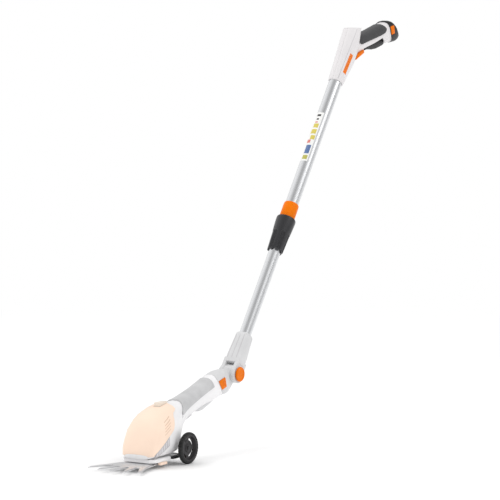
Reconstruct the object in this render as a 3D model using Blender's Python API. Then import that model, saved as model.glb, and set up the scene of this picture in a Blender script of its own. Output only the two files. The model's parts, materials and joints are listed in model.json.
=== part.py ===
"""Battery grass shears on a wheeled telescopic shaft, one object per sub-part.

Metres, +Z up, blades towards -Y. The origin is the middle of the hand grip.
Heights written as "ground" values are measured from the ground under the wheels,
and lengths along Y from the wheel axis; the ground frame empty carries them.
"""
import math

import bmesh
import bpy
from mathutils import Matrix, Vector

# ---------------------------------------------------------------- driving dimensions
GRIP_Y = 0.777              # hand grip behind the wheel axis
GRIP_Z = 0.814              # hand grip above the ground
GAP = 0.0003                # gap between pieces that touch
WALL = 0.0023               # moulded wall thickness
SPLIT = 0.00015             # half of the gap between two shell halves

SHAFT_LEAN = math.radians(35.4)     # shaft, from the vertical
HANDLE_RISE = math.radians(10.7)    # hand grip, from the horizontal
STOCK_RISE = math.radians(15.5)     # handle of the shears, from the horizontal

HINGE_Y = 0.241             # tilt hinge, in the ground frame
HINGE_Z = 0.1500
JOINT_Y = 0.180             # where the shears meet the adapter
JOINT_Z = 0.137
JOINT_LEAN = math.radians(20.0)     # lean of the sections there, from the vertical

WHEEL_RADIUS = 0.032
WHEEL_INNER_X = 0.0490
WHEEL_OUTER_X = 0.0585
WEB_OUTER_X = 0.0522        # the web of the wheel is set back from its rim

LOWER_TUBE_RADIUS = 0.0124
UPPER_TUBE_RADIUS = 0.0139
UPPER_TUBE_BORE = 0.0132
SOCKET_TOP = 0.091          # heights along the shaft are from the tilt hinge
LOWER_TUBE_FOOT = 0.046
LOWER_TUBE_HEAD = 0.560
SLEEVE_FOOT = 0.290
SLEEVE_HEAD = 0.370
COLLAR_HEAD = 0.406
UPPER_TUBE_FOOT = 0.345
UPPER_TUBE_HEAD = 0.800
HOUSING_FOOT = 0.708

HUB_RADIUS = 0.0185
HUB_HALF_WIDTH = 0.0097
LUG_RADIUS = 0.0188
LUG_OUTER_X = 0.0186
PIN_RADIUS = 0.004
KNOB_TRAVEL = 0.0018

BLADE_PIVOT_Y = -0.060      # ground frame
BLADE_TIP_RADIUS = 0.140
TOOTH_COUNT = 5
TOOTH_PITCH = math.radians(13.0)
LOWER_BLADE_Z = (0.0075, 0.0090)
UPPER_BLADE_Z = (0.0093, 0.0108)

GEAR_MODULE = 0.0012
GEAR_TEETH = 34
PINION_TEETH = 10
GEAR_Y = -0.032
GEAR_Z = (0.028, 0.034)
CRANK_RADIUS = 0.004
CRANK_PIN_RADIUS = 0.0022
DECK_Z = (0.0370, 0.0400)
MOTOR_Y = GEAR_Y - GEAR_MODULE * (GEAR_TEETH + PINION_TEETH) / 2
MOTOR_RADIUS = 0.014

ROUND = 24                  # sides of a round piece
SMALL_ROUND = 12
HOLLOW_SIDES = 16           # sides of the inside of a moulded shell
BODY_SIDES = 20             # sides of a moulded casing
FACET = 2 * math.pi / BODY_SIDES


# ---------------------------------------------------------------- scene and materials
def clear_scene():
    for item in list(bpy.data.objects):
        bpy.data.objects.remove(item)


def make_material(name, colour, roughness, metallic=0.0):
    material = bpy.data.materials.new(name)
    material.use_nodes = True
    shader = material.node_tree.nodes["Principled BSDF"]
    shader.inputs["Base Color"].default_value = (*colour, 1.0)
    shader.inputs["Roughness"].default_value = roughness
    shader.inputs["Metallic"].default_value = metallic
    material.diffuse_color = (*colour, 1.0)
    return material


FINISHES = {
    "white": ((0.86, 0.86, 0.85), 0.45, 0.0),
    "pale_grey": ((0.62, 0.63, 0.64), 0.5, 0.0),
    "peach": ((0.95, 0.72, 0.55), 0.45, 0.0),
    "orange": ((0.90, 0.32, 0.04), 0.42, 0.0),
    "dark_grip": ((0.05, 0.05, 0.055), 0.75, 0.0),
    "black": ((0.02, 0.02, 0.022), 0.5, 0.0),
    "rubber": ((0.015, 0.015, 0.016), 0.8, 0.0),
    "silver": ((0.75, 0.76, 0.78), 0.3, 0.9),
    "steel": ((0.55, 0.56, 0.58), 0.35, 1.0),
    "brass": ((0.72, 0.55, 0.25), 0.35, 1.0),
    "inner_grey": ((0.35, 0.36, 0.38), 0.6, 0.0),
}


def empty(name, location, tilt=0.0, parent=None):
    frame = bpy.data.objects.new(name, None)
    frame.location = location
    frame.rotation_euler = (tilt, 0.0, 0.0)
    frame.parent = parent
    bpy.context.collection.objects.link(frame)
    return frame


def add_object(name, mesh_data, finish, frame=None, at=(0.0, 0.0, 0.0), smooth=35.0):
    """Make an object from a bmesh whose coordinates are in the frame, with its origin at `at`."""
    bmesh.ops.translate(mesh_data, verts=mesh_data.verts, vec=-Vector(at))
    bmesh.ops.recalc_face_normals(mesh_data, faces=mesh_data.faces)
    mesh = bpy.data.meshes.new(name)
    mesh_data.to_mesh(mesh)
    mesh_data.free()
    mesh.shade_smooth()
    mesh.set_sharp_from_angle(angle=math.radians(smooth))
    item = bpy.data.objects.new(name, mesh)
    item.location = at
    item.parent = frame
    bpy.context.collection.objects.link(item)
    if finish:
        colour, roughness, metallic = FINISHES[finish]
        mesh.materials.append(make_material(name, colour, roughness, metallic))
    return item


def cutter(name, mesh_data, frame=None, at=(0.0, 0.0, 0.0)):
    item = add_object(name, mesh_data, None, frame, at)
    item.display_type = "WIRE"
    item.hide_render = True
    return item


def combine(item, other, operation="DIFFERENCE"):
    modifier = item.modifiers.new(other.name, "BOOLEAN")
    modifier.operation = operation
    modifier.solver = "EXACT"
    modifier.object = other
    return item


def bevel(item, width, segments=2, angle=35.0):
    modifier = item.modifiers.new("edges", "BEVEL")
    modifier.width = width
    modifier.segments = segments
    modifier.limit_method = "ANGLE"
    modifier.angle_limit = math.radians(angle)
    return item


# ---------------------------------------------------------------- shapes
def loft(rings):
    """Closed solid through rings of points with equal counts, capped at both ends."""
    shape = bmesh.new()
    rows = [[shape.verts.new(point) for point in ring] for ring in rings]
    count = len(rows[0])
    for low, high in zip(rows, rows[1:]):
        for i in range(count):
            j = (i + 1) % count
            shape.faces.new((low[i], low[j], high[j], high[i]))
    shape.faces.new(rows[0][::-1])
    shape.faces.new(rows[-1])
    return shape


def box(low, high):
    (x0, y0, z0), (x1, y1, z1) = low, high
    ring = [(x0, y0), (x1, y0), (x1, y1), (x0, y1)]
    return loft([[(x, y, z) for x, y in ring] for z in (z0, z1)])


def axis_matrix(axis):
    """Rotation that takes +Z to the named axis."""
    if axis == "X":
        return Matrix.Rotation(math.pi / 2, 3, "Y")
    if axis == "Y":
        return Matrix.Rotation(-math.pi / 2, 3, "X")
    return Matrix.Identity(3)


def turned(profile, axis="Z", centre=(0.0, 0.0, 0.0), sides=ROUND):
    """Revolve a profile of (radius, height) points; it closes on itself unless it ends on the axis."""
    shape = bmesh.new()
    turn = axis_matrix(axis)
    rows = []
    for radius, height in profile:
        steps = 1 if radius == 0.0 else sides
        row = []
        for i in range(steps):
            angle = 2 * math.pi * i / sides
            point = Vector((radius * math.cos(angle), radius * math.sin(angle), height))
            row.append(shape.verts.new(turn @ point + Vector(centre)))
        rows.append(row)
    pairs = list(zip(rows, rows[1:]))
    if profile[0][0] > 0.0:
        pairs.append((rows[-1], rows[0]))
    for low, high in pairs:
        for i in range(sides):
            j = (i + 1) % sides
            corners = [low[i % len(low)], low[j % len(low)], high[j % len(high)], high[i % len(high)]]
            unique = list(dict.fromkeys(corners))
            if len(unique) > 2:
                shape.faces.new(unique)
    return shape


def rod(radius, start, end, axis="Z", centre=(0.0, 0.0, 0.0), sides=ROUND):
    return turned([(0.0, start), (radius, start), (radius, end), (0.0, end)], axis, centre, sides)


def tube(outer, inner, start, end, axis="Z", centre=(0.0, 0.0, 0.0), sides=ROUND):
    profile = [(inner, start), (outer, start), (outer, end), (inner, end)]
    return turned(profile, axis, centre, sides)


def plate(outline, low, high):
    """Extrude an outline of (x, y) points between two heights."""
    return loft([[(x, y, z) for x, y in outline] for z in (low, high)])


def side_plate(outline, low, high):
    """Extrude an outline of (y, z) points between two X positions."""
    return loft([[(x, y, z) for y, z in outline] for x in (low, high)])


class Section:
    """Rounded cross-section of a moulded body: a superellipse that leans in the YZ plane.

    Its lower half can be squarer than its upper half.
    """

    def __init__(self, y, z, half_width, half_height, lean=0.0, squareness=0.0):
        self.values = (y, z, half_width, half_height, lean, squareness)

    def point(self, angle, offset, power):
        y, z, half_width, half_height, lean, squareness = self.values
        sine, cosine = math.sin(angle), math.cos(angle)
        if cosine < 0:
            power = power + squareness
        across = math.copysign(abs(sine) ** (2 / power), sine) * (half_width + offset)
        up = math.copysign(abs(cosine) ** (2 / power), cosine) * (half_height + offset)
        return (across, y - up * math.sin(lean), z + up * math.cos(lean))


def smooth_sections(sections, steps=2):
    """Catmull-Rom sections between the given ones, so that few sections make a smooth body."""
    values = [section.values for section in sections]
    padded = [values[0]] + values + [values[-1]]
    result = []
    for before, start, end, after in zip(padded, padded[1:], padded[2:], padded[3:]):
        for step in range(steps):
            t = step / steps
            mixed = []
            for p0, p1, p2, p3 in zip(before, start, end, after):
                slope = (p2 - p0) * t
                bend = (2 * p0 - 5 * p1 + 4 * p2 - p3) * t * t
                turn = (3 * p1 - p0 - 3 * p2 + p3) * t * t * t
                mixed.append(p1 + (slope + bend + turn) / 2)
            result.append(Section(*mixed))
    result.append(Section(*values[-1]))
    return result


def body_loft(sections, offset=0.0, power=2.6, sides=BODY_SIDES):
    angles = [2 * math.pi * (i + 0.5) / sides for i in range(sides)]
    return loft([[section.point(a, offset, power) for a in angles] for section in sections])


def skin(sections, edges, inner, outer, power=2.6, columns=12):
    """Moulded skin on a body: for each section a start and an end angle, between two offsets."""
    shape = bmesh.new()
    layers = []
    for offset in (inner, outer):
        layer = []
        for section, (first, last) in zip(sections, edges):
            angles = [first + (last - first) * i / columns for i in range(columns + 1)]
            layer.append([shape.verts.new(section.point(a, offset, power)) for a in angles])
        layers.append(layer)
    low, high = layers
    rows = len(low)
    for i in range(rows - 1):
        for j in range(columns):
            shape.faces.new((high[i][j], high[i][j + 1], high[i + 1][j + 1], high[i + 1][j]))
            shape.faces.new((low[i][j], low[i + 1][j], low[i + 1][j + 1], low[i][j + 1]))
        for j in (0, columns):
            shape.faces.new((low[i][j], low[i + 1][j], high[i + 1][j], high[i][j]))
    for i in (0, rows - 1):
        for j in range(columns):
            shape.faces.new((low[i][j], low[i][j + 1], high[i][j + 1], high[i][j]))
    return shape


def half_space(name, side, frame=None):
    """Block that keeps one side of the split plane of two shells."""
    reach = 0.4
    inner = SPLIT * side
    outer = 0.1 * side
    low, high = min(inner, outer), max(inner, outer)
    return cutter(name, box((low, -reach, -reach), (high, reach, reach)), frame)


# ---------------------------------------------------------------- shears: casing
HEAD_FRONT = -0.106
HEAD_SECTIONS = [
    Section(HEAD_FRONT, 0.0240, 0.028, 0.0042, 0.0, 2.0),
    Section(-0.099, 0.0340, 0.035, 0.0142, 0.0, 2.4),
    Section(-0.080, 0.0530, 0.040, 0.0332, 0.0, 2.4),
    Section(-0.050, 0.0640, 0.0415, 0.0440, 0.0, 2.4),
    Section(-0.010, 0.0700, 0.0400, 0.0475, 0.0, 2.0),
    Section(0.010, 0.0810, 0.0315, 0.0370, math.radians(3), 1.2),
    Section(0.026, 0.0905, 0.0255, 0.0290, math.radians(8), 0.4),
    Section(0.046, 0.0993, 0.0212, 0.0230, math.radians(14)),
    Section(0.074, 0.1070, 0.0187, 0.0220, STOCK_RISE),
    Section(0.112, 0.1180, 0.0180, 0.0215, STOCK_RISE),
    Section(0.150, 0.1275, 0.0190, 0.0245, STOCK_RISE),
    Section(0.180, 0.1362, 0.0206, 0.0258, JOINT_LEAN),
    Section(0.196, 0.1405, 0.0208, 0.0262, JOINT_LEAN),
]
COVER_PROFILE = [(-0.120, 0.0248), (-0.099, 0.0258), (-0.093, 0.0318), (-0.036, 0.0720), (-0.031, 0.0850),
                 (-0.029, 0.0980), (-0.024, 0.1050), (-0.010, 0.1110), (-0.005, 0.1350), (-0.120, 0.1350)]
VENT_PROFILE = [(-0.092, 0.0200), (-0.047, 0.0440), (-0.0435, 0.0656), (-0.092, 0.0313)]
PAD_PROFILE = [(0.0330, 0.150), (0.0325, 0.1220), (0.0265, 0.1080), (0.0195, 0.0945), (0.0240, 0.0940),
               (0.1510, 0.1360), (0.1530, 0.1400), (0.1460, 0.1520), (0.1420, 0.1700)]
LOCK_WINDOW = (-0.0079, -0.0334, 0.100), (0.0079, -0.0026, 0.130)
JOINT_PROFILE = [(0.163, 0.168), (0.161, 0.150), (0.166, 0.138), (0.176, 0.124), (0.197, 0.103)]


def head_sections():
    return smooth_sections(HEAD_SECTIONS)


def head_hollow(frame):
    """Inside of the shears' casing, open at the rear where the adapter plugs in."""
    sections = [s for s in head_sections() if s.values[0] > -0.103]
    y, z, half_width, half_height, lean, _ = sections[-1].values
    beyond = Section(y + 0.02, z + 0.02 * math.tan(STOCK_RISE), half_width, half_height, lean)
    return cutter("head_hollow", body_loft(sections + [beyond], -WALL, sides=HOLLOW_SIDES), frame)


def cut_line(name, line, frame, reach, shift=0.0):
    """Block on one side (reach > 0 is the rear) of a line seen from the side, moved by a shift."""
    outline = [(y + shift, z) for y, z in line]
    outline += [(line[-1][0] + reach, line[-1][1]), (line[0][0] + reach, line[0][1])]
    return cutter(name, side_plate(outline, -0.06, 0.06), frame)


def head_shells(frame):
    hollow = head_hollow(frame)
    trigger_slot = cutter("stock_slot", box((-0.0086, 0.0895, 0.070), (0.0086, 0.166, 0.114)), frame)
    crank_hole = cutter("crank_hole", rod(0.0072, 0.010, 0.030, "Z", (0, GEAR_Y, 0), 24), frame)
    vent = cutter("rear_vents", box((-0.06, 0.020, 0.088), (0.06, 0.0225, 0.100)), frame)
    joint_cut = cut_line("joint_cut", JOINT_PROFILE, frame, 0.08, -GAP)
    button_hole = cutter("button_hole", box(*LOCK_WINDOW), frame)
    for side, label in ((1, "right"), (-1, "left")):
        shell = add_object(f"body_shell_{label}", body_loft(head_sections()), "white", frame)
        combine(shell, hollow)
        combine(shell, half_space(f"head_half_{label}", side, frame), "INTERSECT")
        combine(shell, trigger_slot)
        combine(shell, crank_hole)
        combine(shell, vent)
        combine(shell, button_hole)
        combine(shell, joint_cut)


def top_cover(frame):
    """Coloured cover over the front and top; its outline in side view is a slanted line."""
    sections = [s for s in head_sections() if s.values[0] < 0.020]
    facets = 13
    reach = facets * FACET / 2
    shape = skin(sections, [(-reach, reach)] * len(sections), 0.0004, 0.0028, columns=facets)
    cover = add_object("top_cover", shape, "peach", frame)
    combine(cover, cutter("cover_profile", side_plate(COVER_PROFILE, -0.06, 0.06), frame), "INTERSECT")
    window = cutter("lock_window", box(*LOCK_WINDOW), frame)
    return combine(cover, window)


def side_vents(frame):
    """Slanted inlay on each flank, just under the lower edge of the cover."""
    sections = [s for s in head_sections() if -0.101 < s.values[0] < -0.030]
    for side, label in ((1, "right"), (-1, "left")):
        edges = [(side * 3.5 * FACET, side * 7.5 * FACET)] * len(sections)
        inlay = add_object(f"side_vent_{label}", skin(sections, edges, 0.0004, 0.0018, columns=4),
                           "inner_grey", frame)
        profile = side_plate(VENT_PROFILE, *sorted((0.01 * side, 0.06 * side)))
        combine(inlay, cutter(f"vent_profile_{label}", profile, frame), "INTERSECT")


def stock_grip(frame):
    """Soft saddle over the handle of the shears."""
    sections = [s for s in head_sections() if 0.0 < s.values[0] < 0.166]
    facets = 13
    reach = facets * FACET / 2
    shape = skin(sections, [(-reach, reach)] * len(sections), 0.0004, 0.0024, columns=facets)
    pad = add_object("stock_grip_pad", shape, "pale_grey", frame)
    combine(pad, cutter("pad_profile", side_plate(PAD_PROFILE, -0.06, 0.06), frame), "INTERSECT")


def lock_button(frame):
    """Release button on top of the casing; it presses down into its window."""
    button = box((-0.0072, -0.0326, 0.1120), (0.0072, -0.0034, 0.1236))
    return bevel(add_object("lock_button", button, "pale_grey", frame, (0, -0.018, 0.1180)), 0.0012)


def stock_trigger(frame):
    """Switch trigger under the handle of the shears, hinged at its front end."""
    pivot = (0.0, 0.0980, 0.0975)
    outline = [(0.0925, 0.0905), (0.1080, 0.0885), (0.1200, 0.0895), (0.1450, 0.0975), (0.1630, 0.1050),
               (0.1610, 0.1115), (0.1350, 0.1065), (0.1100, 0.1020), (0.0940, 0.1010)]
    trigger = add_object("stock_trigger", side_plate(outline, -0.0078, 0.0078), "pale_grey", frame, pivot)
    bevel(trigger, 0.0012)
    pin = rod(0.0015, -0.0084, 0.0084, "X", pivot, SMALL_ROUND)
    add_object("stock_trigger_pin", pin, "steel", frame, pivot)
    hole = cutter("stock_pin_hole", rod(0.0018, -0.02, 0.02, "X", pivot, SMALL_ROUND), frame, pivot)
    combine(trigger, hole)


def stock_latch(frame):
    """Lock slider in front of the trigger."""
    outline = [(0.0540, 0.0745), (0.0840, 0.0839), (0.0840, 0.0863), (0.0540, 0.0769)]
    latch = side_plate(outline, -0.0075, 0.0075)
    item = add_object("stock_latch", latch, "pale_grey", frame, (0, 0.069, 0.0805))
    return bevel(item, 0.0008)


# ---------------------------------------------------------------- shears: cutting unit
def polar(radius, angle, centre_y=BLADE_PIVOT_Y):
    """Point at an angle from straight ahead (-Y), around a centre on the middle plane."""
    return (radius * math.sin(angle), centre_y - radius * math.cos(angle))


def fan_outline(tip_radius, root_radius, root_half, tip_half, rear):
    """Comb with long pointed teeth that spread like a fan; `rear` closes the hub."""
    points = []
    first = -(TOOTH_COUNT - 1) / 2
    for i in range(TOOTH_COUNT):
        centre = (first + i) * TOOTH_PITCH
        points.append(polar(root_radius, centre - root_half))
        points.append(polar(tip_radius - 0.004, centre - tip_half))
        points.append(polar(tip_radius, centre))
        points.append(polar(tip_radius - 0.004, centre + tip_half))
        points.append(polar(root_radius, centre + root_half))
    return points + rear


def blades(frame):
    pivot = (0.0, BLADE_PIVOT_Y, 0.0)
    rear = [(0.036, -0.088), (0.032, -0.076), (0.032, -0.040), (-0.032, -0.040), (-0.032, -0.076),
            (-0.036, -0.088)]
    outline = fan_outline(BLADE_TIP_RADIUS, 0.084, math.radians(5.2), math.radians(0.9), rear)
    lower = add_object("lower_blade", plate(outline, *LOWER_BLADE_Z), "steel", frame, pivot)
    bolt_hole = cutter("pivot_hole", rod(0.0043, 0.0, 0.030, "Z", pivot, 24), frame)
    combine(lower, bolt_hole)

    rear = [(0.028, -0.086), (0.016, -0.066), (0.0155, -0.0215), (-0.0155, -0.0215), (-0.016, -0.066),
            (-0.028, -0.086)]
    outline = fan_outline(BLADE_TIP_RADIUS - 0.004, 0.088, math.radians(4.2), math.radians(0.7), rear)
    upper = add_object("upper_blade", plate(outline, *UPPER_BLADE_Z), "steel", frame, pivot)
    combine(upper, bolt_hole)
    yoke = cutter("yoke_window", box((-0.0112, -0.0392, 0.0), (0.0112, -0.0248, 0.02)), frame)
    combine(upper, yoke)

    profile = [(0.0, 0.0052), (0.0070, 0.0052), (0.0070, 0.0072), (0.0040, 0.0072), (0.0040, 0.0190),
               (0.0, 0.0190)]
    add_object("blade_pivot_bolt", turned(profile, "Z", pivot, 24), "steel", frame, pivot)


def base_plate(frame):
    """Floor of the casing, with the skirt that shows under the cover."""
    outline = [(0.030, -0.104), (0.039, -0.094), (0.040, -0.042), (0.0335, -0.038), (0.0335, -0.010)]
    outline = outline + [(-x, y) for x, y in reversed(outline)]
    floor = add_object("base_plate", plate(outline, 0.0125, 0.0192), "pale_grey", frame)
    combine(floor, cutter("bolt_hole", rod(0.0043, 0.0, 0.030, "Z", (0, BLADE_PIVOT_Y, 0), 24), frame))
    combine(floor, cutter("crank_window", rod(0.0072, 0.0, 0.030, "Z", (0, GEAR_Y, 0), 24), frame))
    return floor


def blade_release_tabs(frame):
    """Orange tabs that free the blade unit; each presses inwards."""
    for side, label in ((1, "right"), (-1, "left")):
        inner, outer = 0.0358 * side, 0.0430 * side
        tab = box((min(inner, outer), -0.082, 0.0068), (max(inner, outer), -0.058, 0.0121))
        item = add_object(f"blade_release_{label}", tab, "orange", frame, (0.0394 * side, -0.070, 0.0095))
        bevel(item, 0.001)


def toothed_outline(teeth, centre_y, phase):
    """Gear outline with straight-sided teeth and generous backlash."""
    pitch_radius = GEAR_MODULE * teeth / 2
    tip = pitch_radius + 0.9 * GEAR_MODULE
    root = pitch_radius - 1.2 * GEAR_MODULE
    step = 2 * math.pi / teeth
    points = []
    for i in range(teeth):
        for radius, share in ((root, -0.25), (tip, -0.10), (tip, 0.10), (root, 0.25)):
            points.append(polar(radius, phase + (i + share) * step, centre_y))
    return points


def gear_train(frame):
    """Motor, pinion, crank gear and its shaft, under the mounting plate."""
    gear_at = (0.0, GEAR_Y, 0.031)
    motor_at = (0.0, MOTOR_Y, 0.031)
    gear = add_object("crank_gear", plate(toothed_outline(GEAR_TEETH, GEAR_Y, 0.0), *GEAR_Z), "white",
                      frame, gear_at, 20)
    combine(gear, cutter("gear_bore", rod(0.0027, 0.0305, 0.04, "Z", (0, GEAR_Y, 0), SMALL_ROUND), frame))
    pin_y = GEAR_Y - CRANK_RADIUS
    pin = rod(CRANK_PIN_RADIUS, 0.0096, GEAR_Z[0] + 0.0015, "Z", (0.0, pin_y, 0.0), SMALL_ROUND)
    combine(gear, cutter("crank_pin_boss", pin, frame), "UNION")

    profile = [(0.0, 0.0308), (0.0024, 0.0308), (0.0024, 0.0403), (0.0040, 0.0403), (0.0040, 0.0415),
               (0.0, 0.0415)]
    add_object("gear_shaft", turned(profile, "Z", (0, GEAR_Y, 0), SMALL_ROUND), "steel", frame, gear_at)

    phase = math.pi + math.pi / PINION_TEETH
    pinion = add_object("motor_pinion", plate(toothed_outline(PINION_TEETH, MOTOR_Y, phase), *GEAR_Z),
                        "brass", frame, motor_at, 20)
    spindle = rod(0.0018, GEAR_Z[0] + 0.002, 0.0480, "Z", (0, MOTOR_Y, 0), SMALL_ROUND)
    combine(pinion, cutter("motor_spindle", spindle, frame), "UNION")

    motor = [(0.0023, 0.0408), (MOTOR_RADIUS, 0.0408), (MOTOR_RADIUS, 0.0830), (0.006, 0.0830),
             (0.006, 0.0860), (0.0, 0.0860), (0.0, 0.0490), (0.0023, 0.0490)]
    add_object("drive_motor", turned(motor, "Z", (0, MOTOR_Y, 0)), "steel", frame, motor_at)

    outline = [(0.030, -0.082), (0.032, -0.060), (0.030, -0.016), (-0.030, -0.016), (-0.032, -0.060),
               (-0.030, -0.082)]
    deck = add_object("gear_deck", plate(outline, *DECK_Z), "inner_grey", frame)
    for name, radius, y in (("deck_shaft_hole", 0.0027, GEAR_Y), ("deck_spindle_hole", 0.0040, MOTOR_Y)):
        hole = rod(radius, DECK_Z[0] - 0.005, DECK_Z[1] + 0.005, "Z", (0, y, 0), SMALL_ROUND)
        combine(deck, cutter(name, hole, frame))


def control_board(frame):
    """Circuit board behind the motor, under the release button."""
    add_object("control_board", box((-0.020, -0.036, 0.062), (0.020, -0.0344, 0.100)), "inner_grey", frame)


# ---------------------------------------------------------------- wheel carriage
CARRIAGE_EAR = (0.0405, 0.0484)


def wheel_carriage(frame):
    """Cradle under the casing: two arms, a cross plate and an ear for each wheel."""
    cradle = add_object("wheel_carriage", box((-0.0470, -0.006, 0.0130), (0.0470, 0.008, 0.0185)),
                        "black", frame, (0, 0, 0.016))
    for side, label in ((1, "right"), (-1, "left")):
        ear_low, ear_high = sorted((CARRIAGE_EAR[0] * side, CARRIAGE_EAR[1] * side))
        ear = [(-0.006, 0.0135), (0.008, 0.0135), (0.008, 0.032), (0.0055, 0.0385), (0.0, 0.0405),
               (-0.0055, 0.0385), (-0.008, 0.032)]
        ear_block = side_plate(ear, ear_low, ear_high)
        combine(cradle, cutter(f"carriage_ear_{label}", ear_block, frame), "UNION")
        arm_low, arm_high = sorted((0.0345 * side, 0.0415 * side))
        arm = box((arm_low, -0.036, 0.0134), (arm_high, -0.001, 0.0182))
        combine(cradle, cutter(f"carriage_arm_{label}", arm, frame), "UNION")
        hole_low, hole_high = sorted((0.030 * side, 0.050 * side))
        hole = rod(0.0027, hole_low, hole_high, "X", (0, 0, WHEEL_RADIUS), SMALL_ROUND)
        combine(cradle, cutter(f"axle_hole_{label}", hole, frame))
    return cradle


def mirrored(profile, side):
    return [(radius, height * side) for radius, height in profile]


def wheels(frame):
    hub = (0.0, 0.0, WHEEL_RADIUS)
    for side, label in ((1, "right"), (-1, "left")):
        tread = 0.0268
        inner, outer = WHEEL_INNER_X, WHEEL_OUTER_X
        crown = 0.0016
        tyre = [(tread, inner), (WHEEL_RADIUS - crown, inner), (WHEEL_RADIUS, inner + 0.0025),
                (WHEEL_RADIUS, outer - 0.0025), (WHEEL_RADIUS - crown, outer), (tread, outer)]
        at = ((inner + outer) / 2 * side, 0.0, WHEEL_RADIUS)
        add_object(f"tyre_{label}", turned(mirrored(tyre, side), "X", hub, 28), "rubber", frame, at)
        rim = tread - GAP
        web = WEB_OUTER_X
        disc = [(0.0027, inner), (rim, inner), (rim, outer - 0.0004), (0.0240, outer - 0.0004),
                (0.0228, web), (0.0090, web), (0.0080, web + 0.002), (0.0027, web + 0.002)]
        wheel = add_object(f"wheel_disc_{label}", turned(mirrored(disc, side), "X", hub, 28), "black",
                           frame, at)
        combine(wheel, cutter(f"wheel_slots_{label}", slot_ring(side, hub), frame))
        clip = web + 0.0024
        axle = [(0.0, 0.0370), (0.0024, 0.0370), (0.0024, clip), (0.0046, clip), (0.0046, clip + 0.0012),
                (0.0, clip + 0.0012)]
        pin = turned(mirrored(axle, side), "X", hub, SMALL_ROUND)
        add_object(f"wheel_axle_{label}", pin, "steel", frame, at)


def slot_ring(side, hub):
    """Four curved slots through a wheel's web and the flat behind it."""
    shape = bmesh.new()
    slots = 4
    steps = 6
    sweep = math.radians(62)
    low, high = sorted((0.046 * side, 0.056 * side))
    for slot in range(slots):
        middle = 2 * math.pi * (slot + 0.5) / slots
        outline = []
        for radius, direction in ((0.0158, 1), (0.0208, -1)):
            for i in range(steps + 1):
                angle = middle + direction * sweep * (i / steps - 0.5)
                outline.append((hub[1] + radius * math.cos(angle), hub[2] + radius * math.sin(angle)))
        part = side_plate(outline, low, high)
        bmesh.ops.recalc_face_normals(part, faces=part.faces)
        mesh = bpy.data.meshes.new("slot")
        part.to_mesh(mesh)
        part.free()
        shape.from_mesh(mesh)
        bpy.data.meshes.remove(mesh)
    return shape


# ---------------------------------------------------------------- adapter and tilt joint
BUTTON_OUTLINE = [(-0.0118, 0.0105), (-0.0112, 0.0047), (-0.0058, -0.0100), (0.0105, -0.0100),
                  (0.0105, 0.0105)]
POCKET_OUTLINE = [(-0.0123, 0.0110), (-0.0117, 0.0047), (-0.0062, -0.0105), (0.0110, -0.0105),
                  (0.0110, 0.0110)]


def adapter(ground, stock):
    """Plug-in adapter behind the shears: tapered body and the hub of the tilt joint."""
    hinge = (0.0, HINGE_Y, HINGE_Z)
    sections = [
        Section(0.150, 0.1282, 0.0196, 0.0248, STOCK_RISE),
        Section(0.180, 0.1360, 0.0204, 0.0254, JOINT_LEAN),
        Section(0.192, 0.1375, 0.0202, 0.0266, JOINT_LEAN),
        Section(0.204, 0.1390, 0.0178, 0.0258, math.radians(17)),
        Section(0.2145, 0.1395, 0.0120, 0.0250, math.radians(14)),
        Section(0.2215, 0.1405, 0.0094, 0.0230, math.radians(14)),
        Section(0.232, 0.1455, 0.0094, 0.0195, math.radians(14)),
    ]
    body = add_object("adapter_body", body_loft(sections, 0.0, 3.0), "pale_grey", ground, hinge)
    hub = rod(HUB_RADIUS, -HUB_HALF_WIDTH, HUB_HALF_WIDTH, "X", hinge, 28)
    combine(body, cutter("tilt_hub", hub, ground), "UNION")
    combine(body, cutter("tilt_bore", rod(PIN_RADIUS + GAP, -0.03, 0.03, "X", hinge, 24), ground))

    combine(body, cut_line("adapter_cut", JOINT_PROFILE, ground, -0.08, GAP))
    low, high, front = -0.0140, 0.0130, -0.046
    plug = cutter("plug_core", box((-0.0132, -0.030, low), (0.0132, 0.010, high)), stock)
    combine(body, plug, "UNION")
    tip = box((-0.0130, front, low + 0.001), (0.0130, -0.0303, high - 0.001))
    bevel(add_object("adapter_plug", tip, "black", stock), 0.0012)
    for side, label in ((1, "right"), (-1, "left")):
        low, high = sorted((0.004 * side, 0.009 * side))
        contact = box((low, -0.0500, -0.003), (high, -0.0463, 0.003))
        add_object(f"plug_contact_{label}", contact, "brass", stock)
        inner, outer = sorted((0.0168 * side, 0.0218 * side))
        button = side_plate(BUTTON_OUTLINE, inner, outer)
        item = add_object(f"adapter_button_{label}", button, "orange", stock, (0.0193 * side, 0, 0))
        bevel(item, 0.001)
        inner, outer = sorted((0.0142 * side, 0.0300 * side))
        pocket = side_plate(POCKET_OUTLINE, inner, outer)
        combine(body, cutter(f"adapter_pocket_{label}", pocket, stock))


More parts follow.
